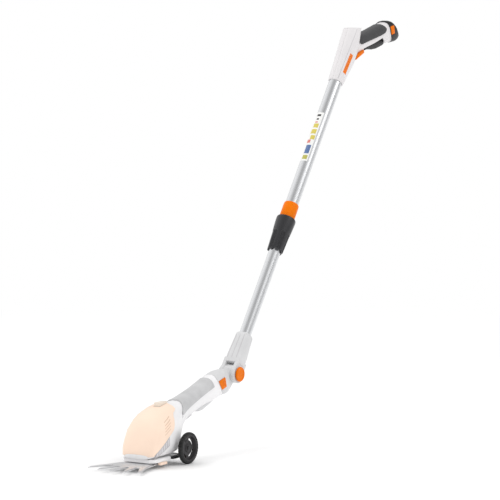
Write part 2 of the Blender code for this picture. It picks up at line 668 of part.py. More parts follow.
def tilt_joint(shaft):
    """Forked socket on the shaft's foot, the pin, the knob and the cap."""
    sides = 24
    levels = [(0.0205, 0.0184, 0.0180), (0.040, 0.0184, 0.0180), (0.062, 0.0168, 0.0170),
              (SOCKET_TOP - 0.003, 0.0155, 0.0157), (SOCKET_TOP, 0.0140, 0.0142)]
    rings = []
    for height, half_width, half_depth in levels:
        ring = []
        for i in range(sides):
            angle = 2 * math.pi * i / sides
            sine, cosine = math.sin(angle), math.cos(angle)
            x = math.copysign(abs(cosine) ** 0.55, cosine) * half_width
            y = math.copysign(abs(sine) ** 0.55, sine) * half_depth
            ring.append((x, y, height))
        rings.append(ring)
    socket = add_object("shaft_socket", loft(rings), "pale_grey", shaft)
    for side, label in ((1, "right"), (-1, "left")):
        low, high = sorted(((HUB_HALF_WIDTH + GAP) * side, LUG_OUTER_X * side))
        combine(socket, cutter(f"lug_{label}", rod(LUG_RADIUS, low, high, "X", sides=28), shaft), "UNION")
        web_low, web_high = sorted(((HUB_HALF_WIDTH + 2 * GAP) * side, 0.0176 * side))
        web = box((web_low, -0.0165, 0.004), (web_high, 0.0165, 0.0300))
        combine(socket, cutter(f"lug_web_{label}", web, shaft), "UNION")
    combine(socket, cutter("socket_bore", rod(LOWER_TUBE_RADIUS + GAP, LOWER_TUBE_FOOT - GAP, 0.12), shaft))
    combine(socket, cutter("pin_bore", rod(PIN_RADIUS + GAP, -0.03, 0.03, "X", sides=24), shaft))

    pin = rod(PIN_RADIUS, -0.0180, 0.0180, "X", sides=24)
    add_object("tilt_pin", pin, "steel", shaft)
    knob = [(0.0, 0.0), (0.0152, 0.0), (0.0152, 0.0020), (0.0136, 0.0034), (0.0060, 0.0040), (0.0, 0.0040)]
    lifted = [(radius, height + LUG_OUTER_X + KNOB_TRAVEL + GAP) for radius, height in knob]
    add_object("tilt_knob", turned(lifted, "X"), "orange", shaft, (LUG_OUTER_X, 0, 0))
    cap = [(radius, -height - LUG_OUTER_X - GAP) for radius, height in knob]
    add_object("tilt_cap", turned(cap, "X"), "pale_grey", shaft, (-LUG_OUTER_X, 0, 0))


# ---------------------------------------------------------------- telescopic shaft
def telescopic_shaft(shaft):
    wall = 0.0011
    lower = tube(LOWER_TUBE_RADIUS, LOWER_TUBE_RADIUS - wall, LOWER_TUBE_FOOT, LOWER_TUBE_HEAD)
    add_object("lower_tube", lower, "silver", shaft, (0, 0, LOWER_TUBE_FOOT))
    upper = tube(UPPER_TUBE_RADIUS, UPPER_TUBE_BORE, UPPER_TUBE_FOOT, UPPER_TUBE_HEAD)
    add_object("upper_tube", upper, "silver", shaft, (0, 0, UPPER_TUBE_FOOT))
    head = LOWER_TUBE_HEAD
    plug = [(0.005, head - 0.012), (0.0110, head - 0.012), (0.0110, head + GAP), (0.0129, head + GAP),
            (0.0129, head + 0.008), (0.005, head + 0.008)]
    add_object("tube_end_plug", turned(plug), "black", shaft, (0, 0, head))
    collet = [(0.0128, 0.3000), (0.0136, 0.3000), (0.0148, 0.3060), (0.0148, 0.3440), (0.0128, 0.3440)]
    add_object("clamp_collet", turned(collet), "white", shaft, (0, 0, 0.322))
    add_object("clamp_sleeve", turned(sleeve_profile()), "black", shaft, (0, 0, SLEEVE_FOOT))
    foot = SLEEVE_HEAD + GAP
    collar = [(0.0142, foot), (0.0163, foot), (0.0163, COLLAR_HEAD - 0.004),
              (0.0156, COLLAR_HEAD - 0.001), (0.0150, COLLAR_HEAD), (0.0142, COLLAR_HEAD)]
    add_object("shaft_collar", turned(collar), "orange", shaft, (0, 0, foot))


def sleeve_profile():
    foot, head = SLEEVE_FOOT, SLEEVE_HEAD
    return [(0.0130, foot), (0.0160, foot), (0.0168, foot + 0.003), (0.0186, foot + 0.048),
            (0.0200, foot + 0.050), (0.0208, head - 0.004), (0.0198, head), (0.0143, head),
            (0.0143, 0.3450), (0.0152, 0.3440), (0.0152, foot + 0.008), (0.0130, foot + 0.006)]


# ---------------------------------------------------------------- hand grip housing
HOUSING_TOP = 0.0262        # level top of the housing above the grip
LATCH_DROP = 0.18           # how far the latch slopes down towards the front
# grip frame: y along the grip, z across it, half width, half height
GRIP_ROWS = [(-0.064, -0.0024, 0.0150, 0.0176), (-0.036, -0.0024, 0.0162, 0.0178),
             (0.000, -0.0020, 0.0172, 0.0182), (0.035, -0.0024, 0.0180, 0.0202),
             (0.060, -0.0026, 0.0198, 0.0216), (0.094, -0.0026, 0.0214, 0.0246)]
GRIP_PROFILE = [(0.079, 0.032), (0.0725, 0.012), (0.0710, 0.0), (0.0740, -0.013), (0.0860, -0.032)]
SLOT_OUTLINE = [(-0.0360, -0.040), (-0.0360, -0.0118), (0.0084, -0.0100), (0.0405, -0.0062),
                (0.0575, -0.0230), (0.0600, -0.040)]
GRIP_PAD_PROFILE = [(-0.0600, 0.0400), (-0.0548, 0.0072), (-0.0460, 0.0000), (0.0340, 0.0010),
                    (0.0485, 0.0028), (0.0567, 0.0075), (0.0579, 0.0116), (0.0550, 0.0190),
                    (0.0525, 0.0400)]


def shaft_point(along, across):
    """Ground-frame (y, z) of a point given along the shaft and across it (towards the rear)."""
    y = HINGE_Y + along * math.sin(SHAFT_LEAN) + across * math.cos(SHAFT_LEAN)
    z = HINGE_Z + along * math.cos(SHAFT_LEAN) - across * math.sin(SHAFT_LEAN)
    return y, z


def housing_sections():
    lean = math.pi / 2 - SHAFT_LEAN
    rows = [(HOUSING_FOOT, 0.0004, 0.0154, 0.0154), (0.735, 0.0018, 0.0162, 0.0188),
            (0.765, 0.0034, 0.0176, 0.0226), (0.795, 0.0022, 0.0186, 0.0240),
            (0.825, -0.0040, 0.0184, 0.0200), (0.856, -0.0105, 0.0166, 0.0146)]
    sections = []
    for along, across, half_width, half_depth in rows:
        y, z = shaft_point(along, across)
        sections.append(Section(y - GRIP_Y, z - GRIP_Z, half_width, half_depth, lean))
    return smooth_sections(sections)


def grip_sections():
    """Hand grip sections in the grip frame, whose +Y runs along the handle."""
    return smooth_sections([Section(*row) for row in GRIP_ROWS])


def housing_shells(grip):
    """Left and right shells of the pistol-shaped housing: shaft part and hand grip in one."""
    inside = body_loft(housing_sections()[1:], -WALL, sides=HOLLOW_SIDES)
    hollow_shaft = cutter("housing_hollow", inside)
    above = box((-0.05, -0.20, HOUSING_TOP - WALL), (0.05, 0.0, 0.20))
    combine(hollow_shaft, cutter("hollow_top", above))
    sections = grip_sections()
    y, z, half_width, half_height, lean, _ = sections[-1].values
    beyond = Section(y + 0.02, z, half_width, half_height, lean)
    hollow_grip = cutter("grip_hollow", body_loft(sections + [beyond], -WALL, sides=HOLLOW_SIDES), grip)
    grip_solid = cutter("grip_solid", body_loft(sections), grip)
    foot_y, foot_z = shaft_point(0.0, 0.0)
    shaft_frame = empty("housing_frame", (0, foot_y - GRIP_Y, foot_z - GRIP_Z), -SHAFT_LEAN)
    bore = cutter("shaft_bore", rod(UPPER_TUBE_RADIUS + GAP, 0.690, UPPER_TUBE_HEAD + GAP), shaft_frame)
    top_cut = cutter("housing_top", box((-0.05, -0.20, HOUSING_TOP), (0.05, 0.0, 0.20)))
    end_cut = cut_line("grip_end_cut", GRIP_PROFILE, grip, 0.08, -GAP)
    slot = cutter("trigger_slot", side_plate(SLOT_OUTLINE, -0.04, 0.04), grip)
    latch_slot = cutter("latch_slot", side_plate(latch_outline(0.0005, 0.0028), -0.03, 0.03), grip)
    for side, label in ((1, "right"), (-1, "left")):
        shell = add_object(f"handle_shell_{label}", body_loft(housing_sections()), "white")
        combine(shell, top_cut)
        combine(shell, grip_solid, "UNION")
        combine(shell, end_cut)
        combine(shell, bore)
        combine(shell, hollow_shaft)
        combine(shell, hollow_grip)
        combine(shell, half_space(f"handle_half_{label}", side), "INTERSECT")
        combine(shell, slot)
        combine(shell, latch_slot)


def latch_outline(margin=0.0, travel=0.0):
    """Wedge of the trigger latch in the grip frame, grown by a margin and by its forward travel."""
    front = margin + travel
    drop = travel * LATCH_DROP
    return [(-0.075 - front, -0.0275 - margin - drop), (-0.039 + margin, -0.0205 - margin - drop),
            (-0.039 + margin, -0.0135 + margin), (-0.067 - front, -0.0185 + margin)]


def hand_grip(grip):
    facets = 11
    reach = facets * FACET / 2
    sections = [s for s in grip_sections() if s.values[0] < 0.080]
    shape = skin(sections, [(-reach, reach)] * len(sections), 0.0004, 0.0022, columns=facets)
    pad = add_object("hand_grip_pad", shape, "dark_grip", grip)
    combine(pad, cutter("grip_pad_profile", side_plate(GRIP_PAD_PROFILE, -0.06, 0.06), grip), "INTERSECT")
    combine(pad, cutter("housing_clearance", body_loft(housing_sections(), 0.0006)))

    pivot = (0.0, -0.0300, -0.0148)
    outline = [(-0.0345, -0.0178), (-0.0150, -0.0182), (0.0020, -0.0232), (0.0200, -0.0252),
               (0.0440, -0.0245), (0.0536, -0.0225), (0.0490, -0.0130), (0.0440, -0.0076),
               (-0.0345, -0.0120)]
    trigger = add_object("drive_trigger", side_plate(outline, -0.0122, 0.0122), "black", grip, pivot)
    bevel(trigger, 0.0022)
    combine(trigger, cutter("trigger_pin_hole", rod(0.0018, -0.02, 0.02, "X", pivot, SMALL_ROUND), grip))
    pin = rod(0.0015, -0.0108, 0.0108, "X", pivot, SMALL_ROUND)
    add_object("drive_trigger_pin", pin, "steel", grip, pivot)

    latch = add_object("trigger_latch", side_plate(latch_outline(), -0.0172, 0.0172), "orange", grip,
                       (0, -0.056, -0.021))
    bevel(latch, 0.0008)
    add_object("grip_switch", box((-0.003, 0.002, -0.0055), (0.003, 0.022, 0.0045)), "inner_grey", grip)


def battery(grip):
    """Slide-in battery behind the hand grip, with a release button on each flank."""
    sections = [
        Section(0.060, -0.0024, 0.0206, 0.0228),
        Section(0.082, -0.0026, 0.0214, 0.0246, math.radians(6)),
        Section(0.096, -0.0042, 0.0208, 0.0246, math.radians(14)),
        Section(0.107, -0.0064, 0.0172, 0.0200, math.radians(20)),
    ]
    case = add_object("battery_case", body_loft(smooth_sections(sections), 0.0, 3.0), "black", grip,
                      (0, 0.1, 0.0))
    combine(case, cut_line("battery_cut", GRIP_PROFILE, grip, -0.08, GAP))
    neck = box((-0.0118, 0.034, -0.0030), (0.0118, 0.088, 0.0100))
    combine(case, cutter("battery_neck", neck, grip), "UNION")
    for side, label in ((1, "right"), (-1, "left")):
        low, high = sorted((0.004 * side, 0.009 * side))
        contact = box((low, 0.0300, 0.002), (high, 0.0337, 0.008))
        add_object(f"battery_contact_{label}", contact, "brass", grip)
        inner, outer = sorted((0.0175 * side, 0.0222 * side))
        button = box((inner, 0.0735, -0.0070), (outer, 0.0870, 0.0110))
        item = add_object(f"battery_button_{label}", button, "orange", grip, (0.02 * side, 0.080, 0.002))
        bevel(item, 0.001)
        inner, outer = sorted((0.0150 * side, 0.0300 * side))
        pocket = box((inner, 0.0730, -0.0075), (outer, 0.0875, 0.0115))
        combine(case, cutter(f"battery_pocket_{label}", pocket, grip))


# ---------------------------------------------------------------- assembly
def build():
    clear_scene()
    ground = empty("ground_frame", (0.0, -GRIP_Y, -GRIP_Z))
    stock = empty("stock_frame", (0.0, JOINT_Y, JOINT_Z), STOCK_RISE, ground)
    shaft = empty("shaft_frame", (0.0, HINGE_Y, HINGE_Z), -SHAFT_LEAN, ground)
    grip = empty("grip_frame", (0.0, 0.0, 0.0), HANDLE_RISE)
    head_shells(ground)
    top_cover(ground)
    side_vents(ground)
    stock_grip(ground)
    lock_button(ground)
    stock_trigger(ground)
    stock_latch(ground)
    blades(ground)
    base_plate(ground)
    blade_release_tabs(ground)
    gear_train(ground)
    control_board(ground)
    wheel_carriage(ground)
    wheels(ground)
    adapter(ground, stock)
    tilt_joint(shaft)
    telescopic_shaft(shaft)
    housing_shells(grip)
    hand_grip(grip)
    battery(grip)
    bpy.context.view_layer.update()


build()
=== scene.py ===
"""Looks of the cordless grass shears on a telescopic shaft: materials, fine pieces, camera and light.

Lengths are in metres. Heights on the shaft run up it from the tilt joint.
"""
import json
import math

import bmesh
import bpy
from mathutils import Matrix, Vector
from mathutils.bvhtree import BVHTree


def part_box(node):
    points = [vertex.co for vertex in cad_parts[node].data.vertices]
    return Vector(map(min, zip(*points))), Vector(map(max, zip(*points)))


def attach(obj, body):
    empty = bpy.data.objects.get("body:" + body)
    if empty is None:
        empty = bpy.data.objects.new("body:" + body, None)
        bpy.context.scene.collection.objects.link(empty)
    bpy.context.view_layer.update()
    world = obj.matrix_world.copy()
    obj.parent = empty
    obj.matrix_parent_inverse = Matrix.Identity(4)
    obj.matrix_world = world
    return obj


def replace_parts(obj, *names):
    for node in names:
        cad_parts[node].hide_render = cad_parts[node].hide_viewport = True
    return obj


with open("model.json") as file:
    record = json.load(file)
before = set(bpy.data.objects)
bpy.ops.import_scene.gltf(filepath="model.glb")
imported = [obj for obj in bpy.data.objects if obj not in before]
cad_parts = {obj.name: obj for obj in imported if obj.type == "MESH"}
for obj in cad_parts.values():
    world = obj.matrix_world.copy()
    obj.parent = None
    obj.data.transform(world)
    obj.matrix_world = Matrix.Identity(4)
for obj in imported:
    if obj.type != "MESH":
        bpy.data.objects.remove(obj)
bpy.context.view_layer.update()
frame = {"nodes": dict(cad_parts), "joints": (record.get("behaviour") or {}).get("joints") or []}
NODES = frame["nodes"]
JOINTS = {joint["name"]: joint for joint in frame["joints"]}

# ---------------------------------------------------------------- places, worked out from the frame
HINGE = Vector(JOINTS["tilt_hinge"]["pos_m"])
SHAFT_DIRECTION = -Vector(JOINTS["shaft_telescope"]["axis"]).normalized()
SHAFT_LEAN = math.atan2(SHAFT_DIRECTION.y, SHAFT_DIRECTION.z)
WHEEL_HUB = Vector(JOINTS["wheel_right_spin"]["pos_m"])
GROUND_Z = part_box("tyre_right")[0].z

SHAFT = Matrix.Translation(HINGE) @ Matrix.Rotation(-SHAFT_LEAN, 4, "X")     # local Z runs up the shaft
GROUND = Matrix.Translation((0.0, WHEEL_HUB.y, GROUND_Z))     # origin on the floor under the wheels
SIDES = ((1, "right"), (-1, "left"))

FINE = 96                         # sides of a round piece
EDGE_ANGLE = math.radians(38)     # edges sharper than this stay sharp, and are rounded off
EDGE_SEGMENTS = 2
CAD_EDGE = 0.0004                 # width of the rounding on the CAD nodes
WELD_DISTANCE = 0.00001
SAME_POINT = 0.000001
OUTSIDE = 0.2                     # rays towards a skin start this far out, clear of the object
BESIDE = 0.0015                   # how far beside a point its skin's normal is evened out
SUNK = 0.0006                     # how deep a laid-on piece reaches under the skin


# ---------------------------------------------------------------- materials
def srgb(red, green, blue):
    """Linear colour of an 8-bit display colour."""
    linear = []
    for value in (red, green, blue):
        share = value / 255
        linear.append(share / 12.92 if share <= 0.04045 else ((share + 0.055) / 1.055) ** 2.4)
    return (*linear, 1.0)


def shade(colour, factor):
    """Colour made darker or lighter."""
    return (colour[0] * factor, colour[1] * factor, colour[2] * factor, 1.0)


class Tree:
    """Node tree, built up call by call."""

    def __init__(self, tree):
        self.nodes = tree.nodes
        self.links = tree.links

    def add(self, kind, inputs=(), **values):
        """New node, with its own values and those of its inputs."""
        node = self.nodes.new(kind)
        for key, value in values.items():
            setattr(node, key, value)
        for key, value in dict(inputs).items():
            node.inputs[key].default_value = value
        return node

    def link(self, output, target):
        self.links.new(output, target)

    def ramp(self, value, low, high, start=0.3, end=0.7):
        """Value mapped from start..end to low..high."""
        limits = {"From Min": start, "From Max": end, "To Min": low, "To Max": high}
        node = self.add("ShaderNodeMapRange", limits)
        self.link(value, node.inputs["Value"])
        return node.outputs["Result"]


class Shader(Tree):
    """Material with one Principled surface."""

    def __init__(self, name, roughness, metallic=0.0):
        self.material = bpy.data.materials.new(name)
        self.material.use_nodes = True
        super().__init__(self.material.node_tree)
        self.surface = self.nodes["Principled BSDF"]
        self.surface.inputs["Metallic"].default_value = metallic
        self.surface.inputs["Roughness"].default_value = roughness
        self.place = self.add("ShaderNodeTexCoord").outputs["Object"]

    def turned_place(self, rotation, scale):
        """Object coordinates turned about X, then stretched, for grain that runs one way."""
        turn = self.add("ShaderNodeMapping", {"Rotation": (rotation, 0.0, 0.0)})
        stretch = self.add("ShaderNodeMapping", {"Scale": scale})
        self.link(self.place, turn.inputs["Vector"])
        self.link(turn.outputs["Vector"], stretch.inputs["Vector"])
        return stretch.outputs["Vector"]

    def noise(self, scale, detail, roughness=0.5, place=None):
        """Soft noise, with about scale grains to a metre."""
        node = self.add("ShaderNodeTexNoise", {"Scale": scale, "Detail": detail, "Roughness": roughness})
        self.link(place or self.place, node.inputs["Vector"])
        return node.outputs["Fac"]

    def cells(self, scale):
        """Distance to the middle of round cells, with scale cells to a metre."""
        node = self.add("ShaderNodeTexVoronoi", {"Scale": scale}, feature="F1")
        self.link(self.place, node.inputs["Vector"])
        return node.outputs["Distance"]

    def mix(self, factor, first, second):
        """Colour between two, each a value or a socket."""
        node = self.add("ShaderNodeMix", data_type="RGBA")
        self.link(factor, node.inputs["Factor"])
        for value, target in ((first, node.inputs["A"]), (second, node.inputs["B"])):
            if isinstance(value, bpy.types.NodeSocket):
                self.link(value, target)
            else:
                target.default_value = value
        return node.outputs["Result"]

    def colour(self, output):
        self.link(output, self.surface.inputs["Base Color"])

    def rough(self, output):
        self.link(output, self.surface.inputs["Roughness"])

    def bump(self, height, distance):
        """Relief from a height between 0 and 1, distance metres deep."""
        node = self.add("ShaderNodeBump", {"Distance": distance, "Strength": 1.0})
        self.link(height, node.inputs["Height"])
        self.link(node.outputs["Normal"], self.surface.inputs["Normal"])


def moulded_plastic(name, colour, roughness, clouds=0.05):
    """Injection-moulded plastic: fine spark-eroded grain, faint clouding and uneven gloss."""
    shader = Shader(name, roughness)
    cloud = shader.noise(scale=22.0, detail=4.0)
    speck = shader.noise(scale=900.0, detail=2.0)
    uneven = shader.noise(scale=60.0, detail=3.0)
    tone = shader.mix(shader.ramp(cloud, 0.0, 1.0), shade(colour, 1 - clouds), shade(colour, 1 + clouds / 2))
    specks = shader.ramp(speck, low=0.0, high=0.12, start=0.45, end=0.75)
    shader.colour(shader.mix(specks, tone, shade(colour, 0.82)))
    shader.rough(shader.ramp(uneven, low=roughness - 0.05, high=roughness + 0.07))
    shader.bump(shader.noise(scale=1500.0, detail=2.0), distance=0.00004)
    return shader.material


def soft_touch(name, colour):
    """Rubbery over-moulded grip: pebbled grain with painted shade in its hollows, dull with a faint sheen.
    """
    roughness = 0.72
    shader = Shader(name, roughness)
    pebbles = shader.cells(scale=1100.0)
    cloud = shader.noise(scale=35.0, detail=4.0)
    uneven = shader.noise(scale=90.0, detail=3.0)
    tone = shader.mix(shader.ramp(cloud, 0.0, 1.0), shade(colour, 0.90), shade(colour, 1.08))
    # Painted shade: darker towards the middle of each pebble's hollow, where the bump is lowest.
    hollow_shade = shader.ramp(pebbles, low=0.25, high=0.0, start=0.0, end=0.5)
    shader.colour(shader.mix(hollow_shade, tone, shade(colour, 0.6)))
    shader.rough(shader.ramp(uneven, low=roughness - 0.06, high=roughness + 0.08))
    shader.bump(pebbles, distance=0.00012)
    shader.surface.inputs["Sheen Weight"].default_value = 0.15
    shader.surface.inputs["Sheen Roughness"].default_value = 0.5
    return shader.material


def gloss_orange(name, colour):
    """Coloured control: satin plastic with faint clouding and an uneven gloss."""
    roughness = 0.30
    shader = Shader(name, roughness)
    cloud = shader.noise(scale=40.0, detail=4.0)
    uneven = shader.noise(scale=160.0, detail=3.0)
    shader.colour(shader.mix(shader.ramp(cloud, 0.0, 1.0), shade(colour, 0.90), shade(colour, 1.04)))
    shader.rough(shader.ramp(uneven, low=roughness - 0.06, high=roughness + 0.08))
    shader.bump(shader.noise(scale=1300.0, detail=2.0), distance=0.00003)
    shader.surface.inputs["Specular IOR Level"].default_value = 0.12
    return shader.material


def drawn_tube(name, colour):
    """Anodised tube, drawn lengthwise: fine lines along the shaft."""
    shader = Shader(name, roughness=0.27, metallic=1.0)
    fine_lines = shader.turned_place(SHAFT_LEAN, scale=(2600.0, 2600.0, 14.0))
    broad_lines = shader.turned_place(SHAFT_LEAN, scale=(240.0, 240.0, 5.0))
    streaks = shader.noise(scale=1.0, detail=3.0, roughness=0.6, place=fine_lines)
    broad = shader.noise(scale=1.0, detail=2.0, place=broad_lines)
    tone = shader.mix(shader.ramp(streaks, 0.0, 1.0), shade(colour, 0.93), shade(colour, 1.04))
    shader.colour(shader.mix(shader.ramp(broad, 0.0, 0.5), tone, shade(colour, 0.94)))
    shader.rough(shader.ramp(streaks, low=0.20, high=0.34))
    shader.bump(streaks, distance=0.00001)
    return shader.material


def ground_steel(name, colour, roughness):
    """Sheet metal, ground across: fine lines along X and a few longer scratches."""
    shader = Shader(name, roughness, metallic=0.9)
    fine_lines = shader.turned_place(0.0, scale=(30.0, 2400.0, 2400.0))
    long_lines = shader.turned_place(0.0, scale=(500.0, 22.0, 500.0))
    streaks = shader.noise(scale=1.0, detail=3.0, roughness=0.6, place=fine_lines)
    scratches = shader.noise(scale=1.0, detail=1.0, roughness=0.4, place=long_lines)
    tone = shader.mix(shader.ramp(streaks, 0.0, 1.0), shade(colour, 0.86), shade(colour, 1.06))
    scratched = shader.ramp(scratches, low=0.0, high=0.35, start=0.62, end=0.75)
    shader.colour(shader.mix(scratched, tone, shade(colour, 0.7)))
    shader.rough(shader.ramp(streaks, low=roughness - 0.08, high=roughness + 0.10))
    shader.bump(streaks, distance=0.00001)
    return shader.material


def tyre_rubber(name, colour, dust_colour):
    """Hard tyre rubber: dull, dusty in places, finely pitted."""
    shader = Shader(name, roughness=0.62)
    patches = shader.noise(scale=45.0, detail=5.0, roughness=0.6)
    uneven = shader.noise(scale=120.0, detail=3.0)
    dust = shader.ramp(patches, low=0.0, high=0.45, start=0.5, end=0.75)
    shader.colour(shader.mix(dust, colour, dust_colour))
    shader.rough(shader.ramp(uneven, low=0.52, high=0.74))
    shader.bump(shader.noise(scale=1400.0, detail=3.0), distance=0.00006)
    return shader.material


# Each has a name and a colour, and most a roughness of their own.
MATERIALS = {
    "white": moulded_plastic("white_plastic", srgb(240, 239, 240), 0.38, clouds=0.02),
    "housing": moulded_plastic("housing_plastic", srgb(224, 221, 222), 0.36, clouds=0.03),
    "peach": moulded_plastic("cover_plastic", srgb(253, 226, 205), 0.33, clouds=0.03),
    "pale": moulded_plastic("pale_grey_plastic", srgb(212, 212, 213), 0.45),
    "pale_soft": soft_touch("pale_grey_grip", srgb(196, 196, 197)),
    "orange": gloss_orange("orange_plastic", srgb(236, 118, 0)),
    "dark_soft": soft_touch("dark_grip", srgb(54, 54, 56)),
    "black": moulded_plastic("black_plastic", srgb(26, 26, 28), 0.42),
    "sleeve": moulded_plastic("sleeve_plastic", srgb(42, 42, 45), 0.34),
    "wheel": moulded_plastic("wheel_plastic", srgb(42, 40, 42), 0.46),
    "tyre": tyre_rubber("tyre_rubber", srgb(22, 22, 23), srgb(60, 58, 57)),
    "tube": drawn_tube("anodised_tube", srgb(226, 227, 229)),
    "blade": ground_steel("blade_steel", srgb(240, 240, 241), 0.42),
    "steel": ground_steel("pin_steel", srgb(190, 190, 194), 0.25),
    "brass": ground_steel("brass", srgb(205, 165, 90), 0.28),
    "inner": moulded_plastic("inner_grey_plastic", srgb(150, 152, 156), 0.5),
    "vent": moulded_plastic("vent_plastic", srgb(196, 194, 196), 0.5),
    "beige": moulded_plastic("release_button_plastic", srgb(236, 224, 210), 0.4),
    "rib": moulded_plastic("vent_rib_plastic", srgb(228, 226, 230), 0.5),
    # Painted shade: darker peach for the strips that stand for the cover's slots, in place of the shade in
    # their recesses.
    "slot": moulded_plastic("cover_slot_shade", srgb(226, 196, 170), 0.6),
    # Painted shade: dark grey ring round each screw head, in place of the shade in its well.
    "well": moulded_plastic("screw_well_shade", srgb(120, 120, 122), 0.6),
    "label_white": moulded_plastic("label_white", srgb(238, 238, 236), 0.3),
    "label_dark": moulded_plastic("label_dark", srgb(62, 60, 62), 0.3),
    "label_yellow": moulded_plastic("label_yellow", srgb(212, 196, 92), 0.3),
    "label_red": moulded_plastic("label_red", srgb(214, 122, 112), 0.3),
    "label_blue": moulded_plastic("label_blue", srgb(88, 114, 162), 0.3),
    "label_olive": moulded_plastic("label_olive", srgb(182, 178, 84), 0.3),
}

# Which material each CAD node gets.
CAD_FINISH = {
    "body_shell_left": "white", "body_shell_right": "white", "top_cover": "peach",
    "side_vent_left": "vent", "side_vent_right": "vent", "stock_grip_pad": "pale_soft",
    "lock_button": "beige", "stock_trigger": "pale", "stock_trigger_pin": "steel", "stock_latch": "pale",
    "lower_blade": "blade", "upper_blade": "blade", "blade_pivot_bolt": "steel", "base_plate": "white",
    "blade_release_left": "peach", "blade_release_right": "peach", "crank_gear": "white",
    "gear_shaft": "steel", "motor_pinion": "brass", "drive_motor": "steel", "gear_deck": "inner",
    "control_board": "inner", "wheel_carriage": "black", "tyre_left": "tyre", "tyre_right": "tyre",
    # The wheel axles are black as painted shade for the deep middle of each hub.
    "wheel_disc_left": "wheel", "wheel_disc_right": "wheel", "wheel_axle_left": "black",
    "wheel_axle_right": "black", "adapter_body": "pale", "adapter_plug": "black",
    "plug_contact_left": "brass", "plug_contact_right": "brass", "adapter_button_left": "orange",
    "adapter_button_right": "orange", "shaft_socket": "pale", "tilt_pin": "steel", "tilt_knob": "orange",
    "tilt_cap": "pale", "lower_tube": "tube", "upper_tube": "tube", "tube_end_plug": "black",
    "clamp_collet": "white", "clamp_sleeve": "sleeve", "shaft_collar": "orange",
    "handle_shell_left": "housing", "handle_shell_right": "housing", "hand_grip_pad": "dark_soft",
    "drive_trigger": "black", "drive_trigger_pin": "steel", "trigger_latch": "orange",
    "grip_switch": "inner", "battery_case": "black", "battery_contact_left": "brass",
    "battery_contact_right": "brass", "battery_button_left": "orange", "battery_button_right": "orange",
}


# ---------------------------------------------------------------- CAD nodes: finish, edges and shading
def smooth_by_angle():
    """Geometry nodes that shade smooth, with edges over EDGE_ANGLE kept sharp."""
    tree = bpy.data.node_groups.new("smooth_by_angle", "GeometryNodeTree")
    tree.interface.new_socket("Geometry", in_out="INPUT", socket_type="NodeSocketGeometry")
    tree.interface.new_socket("Geometry", in_out="OUTPUT", socket_type="NodeSocketGeometry")
    start = tree.nodes.new("NodeGroupInput")
    end = tree.nodes.new("NodeGroupOutput")
    faces = tree.nodes.new("GeometryNodeSetShadeSmooth")
    edges = tree.nodes.new("GeometryNodeSetShadeSmooth")
    edges.domain = "EDGE"
    edges.inputs["Shade Smooth"].default_value = False
    angle = tree.nodes.new("GeometryNodeInputMeshEdgeAngle")
    compare = tree.nodes.new("FunctionNodeCompare")
    compare.data_type = "FLOAT"
    compare.operation = "GREATER_THAN"
    compare.inputs["B"].default_value = EDGE_ANGLE
    tree.links.new(start.outputs[0], faces.inputs["Geometry"])
    tree.links.new(faces.outputs[0], edges.inputs["Geometry"])
    tree.links.new(angle.outputs["Unsigned Angle"], compare.inputs["A"])
    tree.links.new(compare.outputs["Result"], edges.inputs["Selection"])
    tree.links.new(edges.outputs[0], end.inputs[0])
    return tree


SMOOTH = smooth_by_angle()


def round_edges(item, width):
    """Welds an object, rounds its sharp edges to a width, if any, and shades it smooth."""
    weld = item.modifiers.new("weld", "WELD")
    weld.merge_threshold = WELD_DISTANCE
    if width:
        bevel = item.modifiers.new("edges", "BEVEL")
        bevel.width = width
        bevel.segments = EDGE_SEGMENTS
        bevel.limit_method = "ANGLE"
        bevel.angle_limit = EDGE_ANGLE
    smooth = item.modifiers.new("smooth", "NODES")
    smooth.node_group = SMOOTH


def finish_cad_nodes():
    """Material, rounded edges and smooth shading for every node of the frame."""
    for name, item in NODES.items():
        attribute = item.data.attributes.get("custom_normal")
        if attribute:
            item.data.attributes.remove(attribute)
        item.data.materials.clear()
        item.data.materials.append(MATERIALS[CAD_FINISH[name]])
        round_edges(item, CAD_EDGE)


# ---------------------------------------------------------------- fine pieces: making and placing
def make_piece(name, points, faces, material, body, edge=0.0):
    """One closed piece, welded, with outward faces, which rides on a body."""
    mesh = bpy.data.meshes.new(name)
    mesh.from_pydata([tuple(point) for point in points], [], faces)
    shape = bmesh.new()
    shape.from_mesh(mesh)
    bmesh.ops.remove_doubles(shape, verts=shape.verts, dist=SAME_POINT)
    bmesh.ops.recalc_face_normals(shape, faces=shape.faces)
    shape.to_mesh(mesh)
    shape.free()
    mesh.materials.append(MATERIALS[material])
    piece = bpy.data.objects.new(name, mesh)
    bpy.context.scene.collection.objects.link(piece)
    round_edges(piece, edge)
    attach(piece, body)
    return piece


def turned(axes, profile, sides=FINE, shape=None):
    """Closed profile of (radius, height) points, turned about the Z of some axes.

    A shape function takes angle, radius and height, and may move the point.
    """
    points, faces = [], []
    count = len(profile)
    for step in range(sides):
        angle = 2 * math.pi * step / sides
        for radius, height in profile:
            if shape:
                radius, height = shape(angle, radius, height)
            points.append(axes @ Vector((radius * math.cos(angle), radius * math.sin(angle), height)))
        here, there = step * count, (step + 1) % sides * count
        for corner in range(count):
            following = (corner + 1) % count
            faces.append((here + corner, here + following, there + following, there + corner))
    return points, faces


